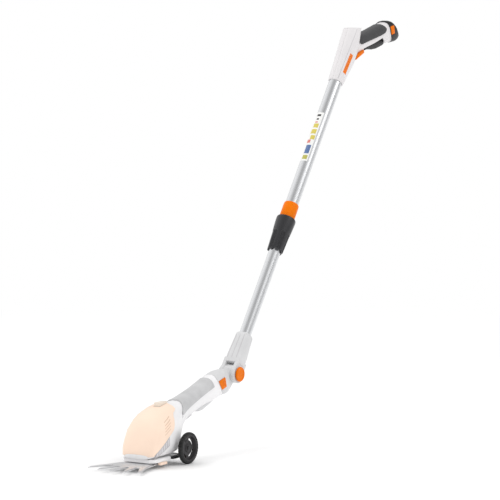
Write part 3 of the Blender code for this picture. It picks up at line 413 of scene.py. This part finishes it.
def slab(outer, inner, columns, rows):
    """Closed shell between two grids of (columns + 1) by (rows + 1) points."""
    points = outer + inner
    size = len(outer)
    faces = []
    across = rows + 1
    for column in range(columns):
        for row in range(rows):
            a = column * across + row
            b, c, d = a + 1, a + across + 1, a + across
            faces += [(a, b, c, d), (size + d, size + c, size + b, size + a)]
    rim = [column * across for column in range(columns + 1)]
    rim += [columns * across + row for row in range(1, rows + 1)]
    rim += [column * across + rows for column in range(columns - 1, -1, -1)]
    rim += [row for row in range(rows - 1, 0, -1)]
    for place, start in enumerate(rim):
        end = rim[(place + 1) % len(rim)]
        faces.append((start, end, size + end, size + start))
    return points, faces


def skin_of(node):
    """Surface of a CAD node, for rays."""
    mesh = NODES[node].data
    return BVHTree.FromPolygons([vertex.co for vertex in mesh.vertices],
                                [face.vertices for face in mesh.polygons])


def skin_point(skin, y, z, side):
    """Point of the skin seen from one side, and its normal, evened out over its neighbours."""
    towards = Vector((-side, 0.0, 0.0))
    place, normal, _, _ = skin.ray_cast(Vector((side * OUTSIDE, y, z)), towards)
    if place is None:
        raise ValueError(f"no skin at {y:.4f}, {z:.4f}")
    total = normal.copy()
    for step_y, step_z in ((BESIDE, 0.0), (-BESIDE, 0.0), (0.0, BESIDE), (0.0, -BESIDE)):
        start = Vector((side * OUTSIDE, y + step_y, z + step_z))
        near_place, near_normal, _, _ = skin.ray_cast(start, towards)
        if near_place is not None:
            total += near_normal
    return place, total.normalized()


def laid_on(name, skin, side, corners, grid, proud, material, body, edge=0.0, deep=SUNK):
    """Thin piece that follows the skin inside four (y, z) corners, counted round, in a grid of facets."""
    columns, rows = grid
    outer, inner = [], []
    a, b, c, d = (Vector(corner) for corner in corners)
    for column in range(columns + 1):
        along = column / columns
        for row in range(rows + 1):
            y, z = a.lerp(b, along).lerp(d.lerp(c, along), row / rows)
            place, normal = skin_point(skin, y, z, side)
            outer.append(place + normal * proud)
            inner.append(place - normal * deep)
    points, faces = slab(outer, inner, columns, rows)
    return make_piece(name, points, faces, material, body, edge)


def smooth_step(value):
    """Share that rises from 0 to 1 with soft ends."""
    value = min(max(value, 0.0), 1.0)
    return value * value * (3 - 2 * value)


# ---------------------------------------------------------------- shaft: tubes, collar and sleeve
def shaft_size(node):
    """Inner and outer radius, lowest and highest height of a round node on the shaft, to 0.01 mm."""
    places = [SHAFT.inverted() @ vertex.co for vertex in NODES[node].data.vertices]
    radii = [place.xy.length for place in places]
    heights = [place.z for place in places]
    return [round(value, 5) for value in (min(radii), max(radii), min(heights), max(heights))]


UPPER_TUBE = shaft_size("upper_tube")
LOWER_TUBE = shaft_size("lower_tube")
UPPER_TUBE_RADIUS, UPPER_TUBE_FOOT = UPPER_TUBE[1:3]

COLLAR_BORE, COLLAR_RADIUS, COLLAR_FOOT, COLLAR_HEAD = shaft_size("shaft_collar")
COLLAR_OUTLINE = (                # radius, height
    (COLLAR_BORE, COLLAR_FOOT), (COLLAR_RADIUS - 0.0002, COLLAR_FOOT), (COLLAR_RADIUS, COLLAR_FOOT + 0.0004),
    (COLLAR_RADIUS, COLLAR_HEAD - 0.0060), (COLLAR_RADIUS - 0.0001, COLLAR_HEAD - 0.0040),
    (COLLAR_RADIUS - 0.0004, COLLAR_HEAD - 0.0022), (COLLAR_RADIUS - 0.0008, COLLAR_HEAD - 0.0010),
    (COLLAR_RADIUS - 0.0014, COLLAR_HEAD - 0.0002), (COLLAR_BORE + 0.0002, COLLAR_HEAD),
    (COLLAR_BORE, COLLAR_HEAD),
)

SLEEVE_FOOT, SLEEVE_HEAD = shaft_size("clamp_sleeve")[2:]
SLEEVE_SKIN = 0.0158              # points of the sleeve further out than this are on its outside
SWELL_FOOT = SLEEVE_FOOT + 0.003  # from here up the sleeve widens evenly, in rows
SWELL_ROWS, SWELL_STEP = 21, 0.002
SWELL_RADIUS = 0.0168
SWELL_SLOPE = 0.040
UPPER_BORE, LOWER_BORE, FOOT_BORE = 0.0143, 0.0152, 0.0132

PANELS = 6
FIRST_PANEL = math.radians(-42)
PANEL_HALF = math.radians(17)
PANEL_WALL = math.radians(3)
PANEL_FOOT, PANEL_TOP = SLEEVE_FOOT + 0.002, SLEEVE_FOOT + 0.044
PANEL_DEPTH = 0.0008
RIB_DEPTH = 0.00035
RIBS = 5                          # in half a panel

LIP_RISE = 0.0034                 # how far the lower lip is scalloped up between panels
LIP_FLAT = 0.25                   # share of the way between panels that stays low
LIP_TOP = SLEEVE_FOOT + 0.012     # no scallops above this
LIP_FADE = 0.010                  # height over which they die out


def sleeve_shape(angle, radius, height):
    """Recessed panels with fine ribs along them, and a scalloped lower lip."""
    pitch = 2 * math.pi / PANELS
    off = abs((angle - FIRST_PANEL + pitch / 2) % pitch - pitch / 2)
    between = smooth_step((off / (pitch / 2) - LIP_FLAT) / (1 - LIP_FLAT))
    lift = LIP_RISE * between * smooth_step((LIP_TOP - height) / LIP_FADE)
    if radius > SLEEVE_SKIN and PANEL_FOOT < height < PANEL_TOP:
        side_wall = smooth_step((PANEL_HALF - off) / PANEL_WALL)
        rib = 0.5 - 0.5 * math.cos(2 * math.pi * RIBS * off / PANEL_HALF)
        radius -= side_wall * (PANEL_DEPTH + RIB_DEPTH * rib)
    return radius, height + lift


def sleeve_profile():
    """Foot, widening grip, flared head and stepped bore."""
    foot, head = SLEEVE_FOOT, SLEEVE_HEAD
    rises = [SWELL_STEP * row for row in range(SWELL_ROWS)]
    lip = [(FOOT_BORE, foot), (SLEEVE_SKIN, foot), (0.0165, foot + 0.0008)]
    swell = [(SWELL_RADIUS + SWELL_SLOPE * rise, SWELL_FOOT + rise) for rise in rises]
    flare = [(0.0189, PANEL_TOP + 0.0001), (0.0196, foot + 0.052), (0.0204, foot + 0.064),
             (0.0208, head - 0.006), (0.0207, head - 0.003), (0.0203, head - 0.001), (0.0196, head)]
    bore = [(UPPER_BORE, head), (UPPER_BORE, UPPER_TUBE_FOOT), (LOWER_BORE, UPPER_TUBE_FOOT - 0.001),
            (LOWER_BORE, foot + 0.008), (FOOT_BORE - 0.0002, foot + 0.006)]
    return [*lip, *swell, *flare, *bore]


def tube_profile(inner, outer, low, high):
    """Tube with a bevelled lower end."""
    bevel = (outer - inner) / 3
    return [(inner, low), (outer - bevel, low), (outer, low + bevel), (outer, high), (inner, high)]


def make_shaft():
    """Both tubes, the collar and the clamp sleeve."""
    for name, body, tube in (
        ("upper_tube", "shaft_top", UPPER_TUBE), ("lower_tube", "lower_shaft", LOWER_TUBE),
    ):
        points, faces = turned(SHAFT, tube_profile(*tube))
        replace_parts(make_piece(name + "_fine", points, faces, "tube", body), name)
    points, faces = turned(SHAFT, COLLAR_OUTLINE)
    piece = make_piece("collar_fine", points, faces, "orange", "shaft_top")
    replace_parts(piece, "shaft_collar")
    points, faces = turned(SHAFT, sleeve_profile(), 4 * FINE, sleeve_shape)
    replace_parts(make_piece("sleeve_fine", points, faces, "sleeve", "sleeve"), "clamp_sleeve")


RIDGE_ANGLES = (90, 58, 122, 236, 270, 304)      # degrees round the shaft, the same on both sides
RIDGE_WIDTH = math.radians(5)
RIDGE_FOOT, RIDGE_HEAD = 0.0290, 0.0850
RIDGE_RISE = 0.0005
RIDGE_BASE = 0.00005
RIDGE_COLUMNS, RIDGE_ROWS = 4, 24


def make_socket_ridges():
    """Low ridges along the forked socket, symmetrical about its middle plane."""
    skin = skin_of("shaft_socket")
    for number, angle in enumerate(RIDGE_ANGLES):
        outer, inner = [], []
        for column in range(RIDGE_COLUMNS + 1):
            off = column / RIDGE_COLUMNS - 0.5
            turn = off * RIDGE_WIDTH - math.radians(angle)
            out = (SHAFT.to_3x3() @ Vector((math.cos(turn), math.sin(turn), 0.0))).normalized()
            for row in range(RIDGE_ROWS + 1):
                height = RIDGE_FOOT + (RIDGE_HEAD - RIDGE_FOOT) * row / RIDGE_ROWS
                place, _, _, _ = skin.ray_cast(SHAFT @ Vector((0.0, 0.0, height)) + out * OUTSIDE, -out)
                ends = smooth_step(min(row, RIDGE_ROWS - row) / 2)
                rise = RIDGE_RISE * (1 - (2 * off) ** 2) * ends
                outer.append(place + out * (rise + RIDGE_BASE))
                inner.append(place - out * SUNK)
        points, faces = slab(outer, inner, RIDGE_COLUMNS, RIDGE_ROWS)
        make_piece(f"socket_ridge_{number}", points, faces, "vent", "lower_shaft")


# ---------------------------------------------------------------- label on the upper tube, plain patches
LABEL_MIDDLE = math.radians(-98)
LABEL_HALF = math.radians(42)
LABEL_FOOT, LABEL_HEAD = 0.505, 0.625
LABEL_BACK = 0.00012              # how far its ground and its patches stand proud of the tube
LABEL_FRONT = 0.00020
LABEL_SUNK = 0.0003
LABEL_COLUMNS = 24
LABEL_PATCHES = (                 # lowest and highest height, start and end in thirds of the label's width
    (0.615, 0.620, 0.9, 2.3, "label_dark"), (0.606, 0.610, 1.2, 2.0, "label_dark"),
    (0.599, 0.602, 1.0, 2.0, "label_red"), (0.587, 0.597, 0.8, 2.6, "label_yellow"),
    (0.572, 0.583, 0.6, 2.6, "label_yellow"), (0.558, 0.568, 1.2, 2.8, "label_yellow"),
    (0.549, 0.557, 0.3, 1.8, "label_red"), (0.523, 0.544, 0.8, 2.6, "label_blue"),
    (0.509, 0.519, 0.8, 2.6, "label_olive"),
)


def tube_patch(name, low, high, start, end, proud, material):
    """Patch on the upper tube between two heights and two angles."""
    front, back = UPPER_TUBE_RADIUS + proud, UPPER_TUBE_RADIUS - LABEL_SUNK
    outer, inner = [], []
    for column in range(LABEL_COLUMNS + 1):
        angle = start + (end - start) * column / LABEL_COLUMNS
        for height in (low, high):
            for points, radius in ((outer, front), (inner, back)):
                points.append(SHAFT @ Vector((radius * math.cos(angle), radius * math.sin(angle), height)))
    points, faces = slab(outer, inner, LABEL_COLUMNS, 1)
    make_piece(name, points, faces, material, "shaft_top")


def make_label():
    """Pale label with plain coloured patches."""
    left, right = LABEL_MIDDLE - LABEL_HALF, LABEL_MIDDLE + LABEL_HALF
    third = (right - left) / 3
    tube_patch("label_ground", LABEL_FOOT, LABEL_HEAD, left, right, LABEL_BACK, "label_white")
    for number, (low, high, start, end, material) in enumerate(LABEL_PATCHES):
        tube_patch(f"label_patch_{number}", low, high, left + third * start, left + third * end, LABEL_FRONT,
                   material)


# ---------------------------------------------------------------- tilt joint and wheels
KNOB_RIM = 0.0152                 # radius of the knob and of the cap opposite it
KNOB_OUTLINE = (                  # radius, height above the inner face
    (0.0, 0.0), (KNOB_RIM - 0.0002, 0.0), (KNOB_RIM, 0.0003), (KNOB_RIM, 0.0018), (0.0149, 0.0028),
    (0.0142, 0.0036), (0.0131, 0.0040), (0.0121, 0.0039), (0.0113, 0.0033), (0.0104, 0.0031),
    (0.0070, 0.0035), (0.0, 0.0037),
)
CAP_OUTLINE = (                   # the same, for the cap
    (0.0, 0.0), (KNOB_RIM - 0.0002, 0.0), (KNOB_RIM, 0.0003), (KNOB_RIM, 0.0020), (0.0147, 0.0032),
    (0.0136, 0.0038), (0.0120, 0.0040), (0.0080, 0.0040), (0.0072, 0.0032), (0.0058, 0.0030),
    (0.0, 0.0030),
)
FLUTES = 40
FLUTE_DEPTH = 0.0005
FLUTE_FROM = 0.0146               # only points further out than this are fluted


def along_x(centre):
    """Axes whose local Z runs along world X, through a centre."""
    return Matrix.Translation((0.0, centre.y, centre.z)) @ Matrix.Rotation(math.pi / 2, 4, "Y")


def knob_shape(angle, radius, height):
    """Shallow narrow grooves across the knob's rim."""
    if radius > FLUTE_FROM:
        radius -= FLUTE_DEPTH * (0.5 - 0.5 * math.cos(FLUTES * angle)) ** 3
    return radius, height


def make_tilt_joint():
    """Fluted knob on one side, plain cap on the other."""
    knob_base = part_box("tilt_knob")[0].x
    knob = [(radius, knob_base + height) for radius, height in KNOB_OUTLINE]
    points, faces = turned(along_x(HINGE), knob, 2 * FINE, knob_shape)
    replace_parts(make_piece("tilt_knob_fine", points, faces, "orange", "tilt_knob"), "tilt_knob")
    cap_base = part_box("tilt_cap")[1].x
    cap = [(radius, cap_base - height) for radius, height in CAP_OUTLINE]
    points, faces = turned(along_x(HINGE), cap)
    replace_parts(make_piece("tilt_cap_fine", points, faces, "pale", "lower_shaft"), "tilt_cap")


TYRE_BORE, TYRE_LIP = 0.0268, 0.0284
TREAD_FROM = 0.0296               # the notches of the tread cut what lies further out than this
# Outline of a shoulder and of the outer flank's groove and bead: radius, depth in from the flank.
SHOULDER = ((TREAD_FROM, 0.0003), (0.0304, 0.0006), (0.0312, 0.0013), (0.0318, 0.0023))
SHOULDER_WIDTH = 0.0034
BEAD = ((0.0290, 0.0005), (TYRE_LIP, 0.0003), (0.0276, 0.0), (TYRE_BORE, 0.0002))
TREADS = 30
NOTCH_START, NOTCH_END = 0.35, 0.65              # share of one tread's pitch
NOTCH_DEPTH = 0.0011


def tread_shape(angle, radius, height):
    """Notches across a tyre's tread."""
    share = angle * TREADS / (2 * math.pi) % 1.0
    if NOTCH_START < share < NOTCH_END and radius > TREAD_FROM:
        radius -= NOTCH_DEPTH
    return radius, height


def make_wheels():
    """Both tyres: rounded shoulders, notched tread, and a groove and bead on the outer flank."""
    for side, label in SIDES:
        low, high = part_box(f"tyre_{label}")
        inner, outer = sorted((abs(low.x), abs(high.x)))
        radius = (high.z - low.z) / 2
        tyre = [(TYRE_BORE, inner), (TYRE_LIP, inner)]
        tyre += [(rim, inner + depth) for rim, depth in SHOULDER]
        tyre += [(radius, inner + SHOULDER_WIDTH), (radius, outer - SHOULDER_WIDTH)]
        tyre += [(rim, outer - depth) for rim, depth in (*reversed(SHOULDER), *BEAD)]
        tyre = [(rim, side * place) for rim, place in tyre]
        points, faces = turned(along_x(WHEEL_HUB), tyre, 8 * TREADS, tread_shape)
        piece = make_piece(f"tyre_{label}_fine", points, faces, "tyre", f"wheel_{label}")
        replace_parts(piece, f"tyre_{label}")


# ---------------------------------------------------------------- details laid on the skins
# Grids are the facets along and across a piece; rises are how far it stands proud of its skin.
ACCENT_STRIPS = (-0.0064, -0.0028, 0.0008)       # their places across the housing
ACCENT_FOOT, ACCENT_HEAD, ACCENT_WIDTH = 0.730, 0.778, 0.0031
ACCENT_GRID, ACCENT_RISE, ACCENT_EDGE = (24, 2), 0.0003, 0.0001
LINE_FOOT, LINE_HEAD, LINE_WIDTH = (-0.0120, 0.712), (-0.0150, 0.835), 0.0010
LINE_GRID, LINE_RISE = (40, 1), 0.00012

COVER_SLOTS = 5
SLOT_START, SLOT_STEP = Vector((-0.0612, 0.0896)), Vector((-0.0014, -0.0060))
SLOT_RUN, SLOT_WIDTH = Vector((0.0200, 0.0105)), 0.0013
SLOT_ACROSS = (-0.46, 0.89)                      # direction square to a slot
SLOT_GRID, SLOT_RISE, SLOT_SUNK = (20, 1), 0.0002, 0.0003

VENT_RIBS, VENT_RIB_WIDTH = 6, 0.0016
VENT_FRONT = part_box("side_vent_right")[0].y - WHEEL_HUB.y     # in the ground's axes
FIRST_VENT_RIB, VENT_PITCH = 0.0035, 0.0066      # distances back from there
VENT_FOOT, VENT_FOOT_SLOPE = 0.0226, 0.533       # height at the front, and rise for each metre back
VENT_HEAD, VENT_HEAD_SLOPE = 0.0290, 0.707
VENT_GRID, VENT_RISE, VENT_EDGE = (2, 6), 0.0005, 0.0002


def strip(axes, start, end, width, across=(1.0, 0.0)):
    """Four world (y, z) corners of a strip between two (y, z) points of some axes."""
    corners = []
    for (y, z), shift in ((start, -width / 2), (end, -width / 2), (end, width / 2), (start, width / 2)):
        place = axes @ Vector((0.0, y + across[0] * shift, z + across[1] * shift))
        corners.append((place.y, place.z))
    return corners


def make_accents():
    """Orange bar of three strips on each flank of the housing, in place of a name, and a fine line."""
    for side, label in SIDES:
        node = f"handle_shell_{label}"
        skin = skin_of(node)
        for number, across in enumerate(ACCENT_STRIPS):
            corners = strip(SHAFT, (across, ACCENT_FOOT), (across, ACCENT_HEAD), ACCENT_WIDTH)
            laid_on(f"accent_{label}_{number}", skin, side, corners, ACCENT_GRID, ACCENT_RISE, "orange",
                    "shaft_top", ACCENT_EDGE)
        corners = strip(SHAFT, LINE_FOOT, LINE_HEAD, LINE_WIDTH)
        laid_on(f"housing_line_{label}", skin, side, corners, LINE_GRID, LINE_RISE, "vent", "shaft_top")


def make_vents():
    """Slots on the cover's flanks, as darker strips of painted shade, and louvres on the vent inlays."""
    for side, label in SIDES:
        skin = skin_of("top_cover")
        for number in range(COVER_SLOTS):
            start = SLOT_START + SLOT_STEP * number
            corners = strip(GROUND, start, start + SLOT_RUN, SLOT_WIDTH, SLOT_ACROSS)
            laid_on(f"cover_slot_{label}_{number}", skin, side, corners, SLOT_GRID, SLOT_RISE, "slot",
                    "shears", deep=SLOT_SUNK)
        skin = skin_of(f"side_vent_{label}")
        for number in range(VENT_RIBS):
            back = FIRST_VENT_RIB + VENT_PITCH * number
            foot = (VENT_FRONT + back, VENT_FOOT + VENT_FOOT_SLOPE * back)
            head = (VENT_FRONT + back, VENT_HEAD + VENT_HEAD_SLOPE * back)
            corners = strip(GROUND, foot, head, VENT_RIB_WIDTH)
            laid_on(f"vent_rib_{label}_{number}", skin, side, corners, VENT_GRID, VENT_RISE, "rib", "shears",
                    VENT_EDGE)


SHEARS_SCREWS = ((-0.020, 0.060), (0.034, 0.090), (0.100, 0.108), (0.150, 0.120))     # in the ground's axes
HANDLE_SCREWS = ((-0.0040, 0.718), (0.0040, 0.792), (-0.0050, 0.826))                 # in the shaft's axes
SCREW_FOOT = -0.0010
# The well is a dark ring that stands just proud of the skin round the head: painted shade, not a recess.
# Outlines of the well and of the head: radius, height above the skin.
WELL_OUTLINE = ((0.0029, SCREW_FOOT), (0.0036, SCREW_FOOT), (0.0036, 0.00015), (0.0029, 0.00015))
HEAD_TOP = 0.0007                 # height of the head above the skin, and depth of its cross
HEAD_OUTLINE = (
    (0.0, SCREW_FOOT), (0.0028, SCREW_FOOT), (0.0028, 0.0002), (0.0025, 0.0005), (0.0018, HEAD_TOP),
    (0.0015, HEAD_TOP), (0.0011, HEAD_TOP), (0.0007, HEAD_TOP), (0.0004, HEAD_TOP), (0.0, HEAD_TOP),
)
HEAD_SIDES = 64
CROSS_REACH = 0.0016              # radius at which the cross's arms end
CROSS_MIDDLE = 0.0006             # radius inside which its arms meet
ARM_END, ARM_GROWTH = 0.34, 0.5   # sine of an arm's full angle at its end, and its growth inwards


def cross_shape(angle, radius, height):
    """Cross pressed into a screw's head."""
    arm = abs(math.sin(2 * angle)) < ARM_END + ARM_GROWTH * (CROSS_REACH - radius) / CROSS_REACH
    if height > 0.0 and radius < CROSS_REACH and (arm or radius < CROSS_MIDDLE):
        height -= HEAD_TOP
    return radius, height


def make_screw(name, skin, y, z, body):
    """Cross-headed screw on the left side, with a dark ring of painted shade round it for a shallow well."""
    place, normal = skin_point(skin, y, z, -1)
    axes = Matrix.Translation(place) @ normal.to_track_quat("Z", "Y").to_matrix().to_4x4()
    points, faces = turned(axes, WELL_OUTLINE, FINE // 2)
    make_piece(name + "_well", points, faces, "well", body)
    points, faces = turned(axes, HEAD_OUTLINE, HEAD_SIDES, cross_shape)
    make_piece(name, points, faces, "steel", body)


def make_screws():
    """Screws that hold the left shells on."""
    for kind, node, axes, places, body, slot in (
        ("shears_screw", "body_shell_left", GROUND, SHEARS_SCREWS, "shears", "stock_trigger_pin"),
        ("handle_screw", "handle_shell_left", SHAFT, HANDLE_SCREWS, "shaft_top", "drive_trigger_pin"),
    ):
        skin = skin_of(node)
        for number, (y, z) in enumerate(places):
            place = axes @ Vector((0.0, y, z))
            make_screw(f"{kind}_{number}", skin, place.y, place.z, body)


BUTTON_RIBS = 3
ADAPTER_RIB_START, ADAPTER_RIB_PITCH, ADAPTER_RIB_WIDTH = -0.0006, 0.0036, 0.0010
ADAPTER_RIB_FOOT, ADAPTER_RIB_HEAD = -0.0050, 0.0045
BATTERY_RIB_START, BATTERY_RIB_PITCH, BATTERY_RIB_WIDTH = -0.0046, 0.0040, 0.0012
BATTERY_RIB_HALF = 0.0045
UPRIGHT_GRID, LEVEL_GRID = (1, 6), (6, 1)
BUTTON_RIB_RISE, BUTTON_RIB_EDGE = 0.0003, 0.0001


def rectangle(y_low, y_high, z_low, z_high):
    """Four (y, z) corners, counted round."""
    return [(y_low, z_low), (y_high, z_low), (y_high, z_high), (y_low, z_high)]


def upright_rib(middle, number):
    """Corners of one of the adapter button's ribs, which stand side by side."""
    y = middle.y + ADAPTER_RIB_START + ADAPTER_RIB_PITCH * number
    return rectangle(y, y + ADAPTER_RIB_WIDTH, middle.z + ADAPTER_RIB_FOOT, middle.z + ADAPTER_RIB_HEAD)


def level_rib(middle, number):
    """Corners of one of the battery button's ribs, which lie above each other."""
    z = middle.z + BATTERY_RIB_START + BATTERY_RIB_PITCH * number
    return rectangle(middle.y - BATTERY_RIB_HALF, middle.y + BATTERY_RIB_HALF, z, z + BATTERY_RIB_WIDTH)


def make_ribs():
    """Grip ribs on the adapter's and the battery's buttons."""
    for side, label in SIDES:
        for kind, rib, grid in (("adapter", upright_rib, UPRIGHT_GRID), ("battery", level_rib, LEVEL_GRID)):
            node = f"{kind}_button_{label}"
            skin = skin_of(node)
            low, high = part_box(node)
            for number in range(BUTTON_RIBS):
                corners = rib((low + high) / 2, number)
                laid_on(f"{kind}_rib_{label}_{number}", skin, side, corners, grid, BUTTON_RIB_RISE, "orange",
                        node, BUTTON_RIB_EDGE)


# ---------------------------------------------------------------- stage
FLOOR_RADIUS = 30.0
FLOOR_GAP = 0.0002                # between the floor and the wheels
FADE_START, FADE_END = 0.6, 2.2   # distances over which the floor turns to plain white

# What gloss reflects, as brightness from the -X side to the +X side: softboxes, a darker strip between.
GLOSS_STOPS = (
    (0.0, 1.0), (0.07, 0.98), (0.22, 0.86), (0.36, 0.68), (0.47, 0.52), (0.62, 0.44), (0.72, 0.48),
    (0.82, 0.70), (0.895, 0.98), (0.93, 0.80), (0.955, 0.46), (1.0, 0.46),
)
GLOSS_STRENGTH = 1.1
GLOSS_BEHIND = 0.60               # share of that brightness behind the object
BEHIND_START, BEHIND_END = 0.25, 0.75            # the direction's Y over which it falls to that
SURROUND_STRENGTH = 0.96
PLAIN_WHITE = (1.0, 1.0, 1.0, 1.0)

LAMP_AIM = Vector((0.0, -0.4, -0.4))
LAMPS = (                         # name, place, diameter, watts, whether gloss reflects it
    ("key_light", (-1.6, -1.2, 2.6), 1.8, 26.0, False),
    ("fill_light", (2.6, 0.6, 1.8), 2.0, 14.0, True),
)

CAMERA_AZIMUTH, CAMERA_ELEVATION = math.radians(32.6), math.radians(6.14)
CAMERA_AIM = Vector((0.0, -0.4634, -0.4150))     # the point in the middle of the view
CAMERA_DISTANCE = 8.0
LENS, SENSOR = 278.8, 36.0        # millimetres
VIEW_END = 100.0


def make_floor():
    """Round pale floor that fades to white away from the object."""
    mesh = bpy.data.meshes.new("floor")
    shape = bmesh.new()
    bmesh.ops.create_circle(shape, cap_ends=True, segments=FINE, radius=FLOOR_RADIUS)
    shape.to_mesh(mesh)
    shape.free()
    floor = bpy.data.objects.new("floor", mesh)
    floor.location = (0.0, WHEEL_HUB.y / 2, GROUND_Z - FLOOR_GAP)
    bpy.context.scene.collection.objects.link(floor)
    shader = Shader("floor", roughness=0.9)
    clouds = shader.ramp(shader.noise(scale=3.0, detail=2.0), 0.0, 1.0)
    shader.colour(shader.mix(clouds, srgb(250, 250, 250), srgb(252, 252, 252)))
    distance = shader.add("ShaderNodeVectorMath", operation="LENGTH")
    shader.link(shader.place, distance.inputs[0])
    fade = shader.ramp(distance.outputs["Value"], 0.0, 1.0, FADE_START, FADE_END)
    glow = shader.add("ShaderNodeEmission")
    blend = shader.add("ShaderNodeMixShader")
    shader.link(fade, blend.inputs[0])
    shader.link(shader.surface.outputs[0], blend.inputs[1])
    shader.link(glow.outputs[0], blend.inputs[2])
    shader.link(blend.outputs[0], shader.nodes["Material Output"].inputs["Surface"])
    mesh.materials.append(shader.material)


def make_surround():
    """White surround for the eye, softboxes at the sides for gloss, and an even white for the rest."""
    world = bpy.data.worlds.new("studio")
    bpy.context.scene.world = world
    world.use_nodes = True
    tree = Tree(world.node_tree)
    split = tree.add("ShaderNodeSeparateXYZ")
    tree.link(tree.add("ShaderNodeTexCoord").outputs["Generated"], split.inputs[0])
    sideways = tree.add("ShaderNodeValToRGB")
    elements = sideways.color_ramp.elements
    while len(elements) < len(GLOSS_STOPS):
        elements.new(0.5)
    for element, (position, value) in zip(elements, GLOSS_STOPS):
        element.position = position
        element.color = (value, value, value, 1.0)
    tree.link(tree.ramp(split.outputs["X"], 0.0, 1.0, start=-1.0, end=1.0), sideways.inputs[0])
    behind = tree.ramp(split.outputs["Y"], 1.0, GLOSS_BEHIND, BEHIND_START, BEHIND_END)
    tone = tree.add("ShaderNodeMix", {"Factor": 1.0}, data_type="RGBA", blend_type="MULTIPLY")
    tree.link(sideways.outputs[0], tone.inputs["A"])
    tree.link(behind, tone.inputs["B"])
    softboxes = tree.nodes["Background"]
    softboxes.inputs["Strength"].default_value = GLOSS_STRENGTH
    tree.link(tone.outputs["Result"], softboxes.inputs["Color"])
    even = tree.add("ShaderNodeBackground", {"Color": PLAIN_WHITE, "Strength": SURROUND_STRENGTH})
    white = tree.add("ShaderNodeBackground", {"Color": PLAIN_WHITE})
    ray = tree.add("ShaderNodeLightPath")
    lit = even
    for kind, seen in (("Is Glossy Ray", softboxes), ("Is Camera Ray", white)):
        pick = tree.add("ShaderNodeMixShader")
        tree.link(ray.outputs[kind], pick.inputs[0])
        tree.link(lit.outputs[0], pick.inputs[1])
        tree.link(seen.outputs[0], pick.inputs[2])
        lit = pick
    tree.link(lit.outputs[0], tree.nodes["World Output"].inputs["Surface"])


def make_lamps():
    """Two large soft lamps, for shadows and shape."""
    for name, place, size, power, in_gloss in LAMPS:
        data = bpy.data.lights.new(name, "AREA")
        data.shape = "DISK"
        data.size = size
        data.energy = power
        lamp = bpy.data.objects.new(name, data)
        bpy.context.scene.collection.objects.link(lamp)
        lamp.visible_glossy = in_gloss
        lamp.location = place
        lamp.rotation_euler = (LAMP_AIM - Vector(place)).to_track_quat("-Z", "Y").to_euler()


def make_camera():
    """Long lens from the front right, a little above the object's middle."""
    flat = math.cos(CAMERA_ELEVATION)
    back = Vector((math.sin(CAMERA_AZIMUTH) * flat, -math.cos(CAMERA_AZIMUTH) * flat,
                   math.sin(CAMERA_ELEVATION)))
    data = bpy.data.cameras.new("camera")
    data.lens = LENS
    data.sensor_width = SENSOR
    data.clip_end = VIEW_END
    camera = bpy.data.objects.new("camera", data)
    bpy.context.scene.collection.objects.link(camera)
    camera.location = CAMERA_AIM + back * CAMERA_DISTANCE
    camera.rotation_euler = (-back).to_track_quat("-Z", "Y").to_euler()
    bpy.context.scene.camera = camera


finish_cad_nodes()
make_shaft()
make_socket_ridges()
make_label()
make_tilt_joint()
make_wheels()
make_accents()
make_vents()
make_screws()
make_ribs()
make_floor()
make_surround()
make_lamps()
make_camera()
bpy.context.scene.view_settings.view_transform = "Standard"
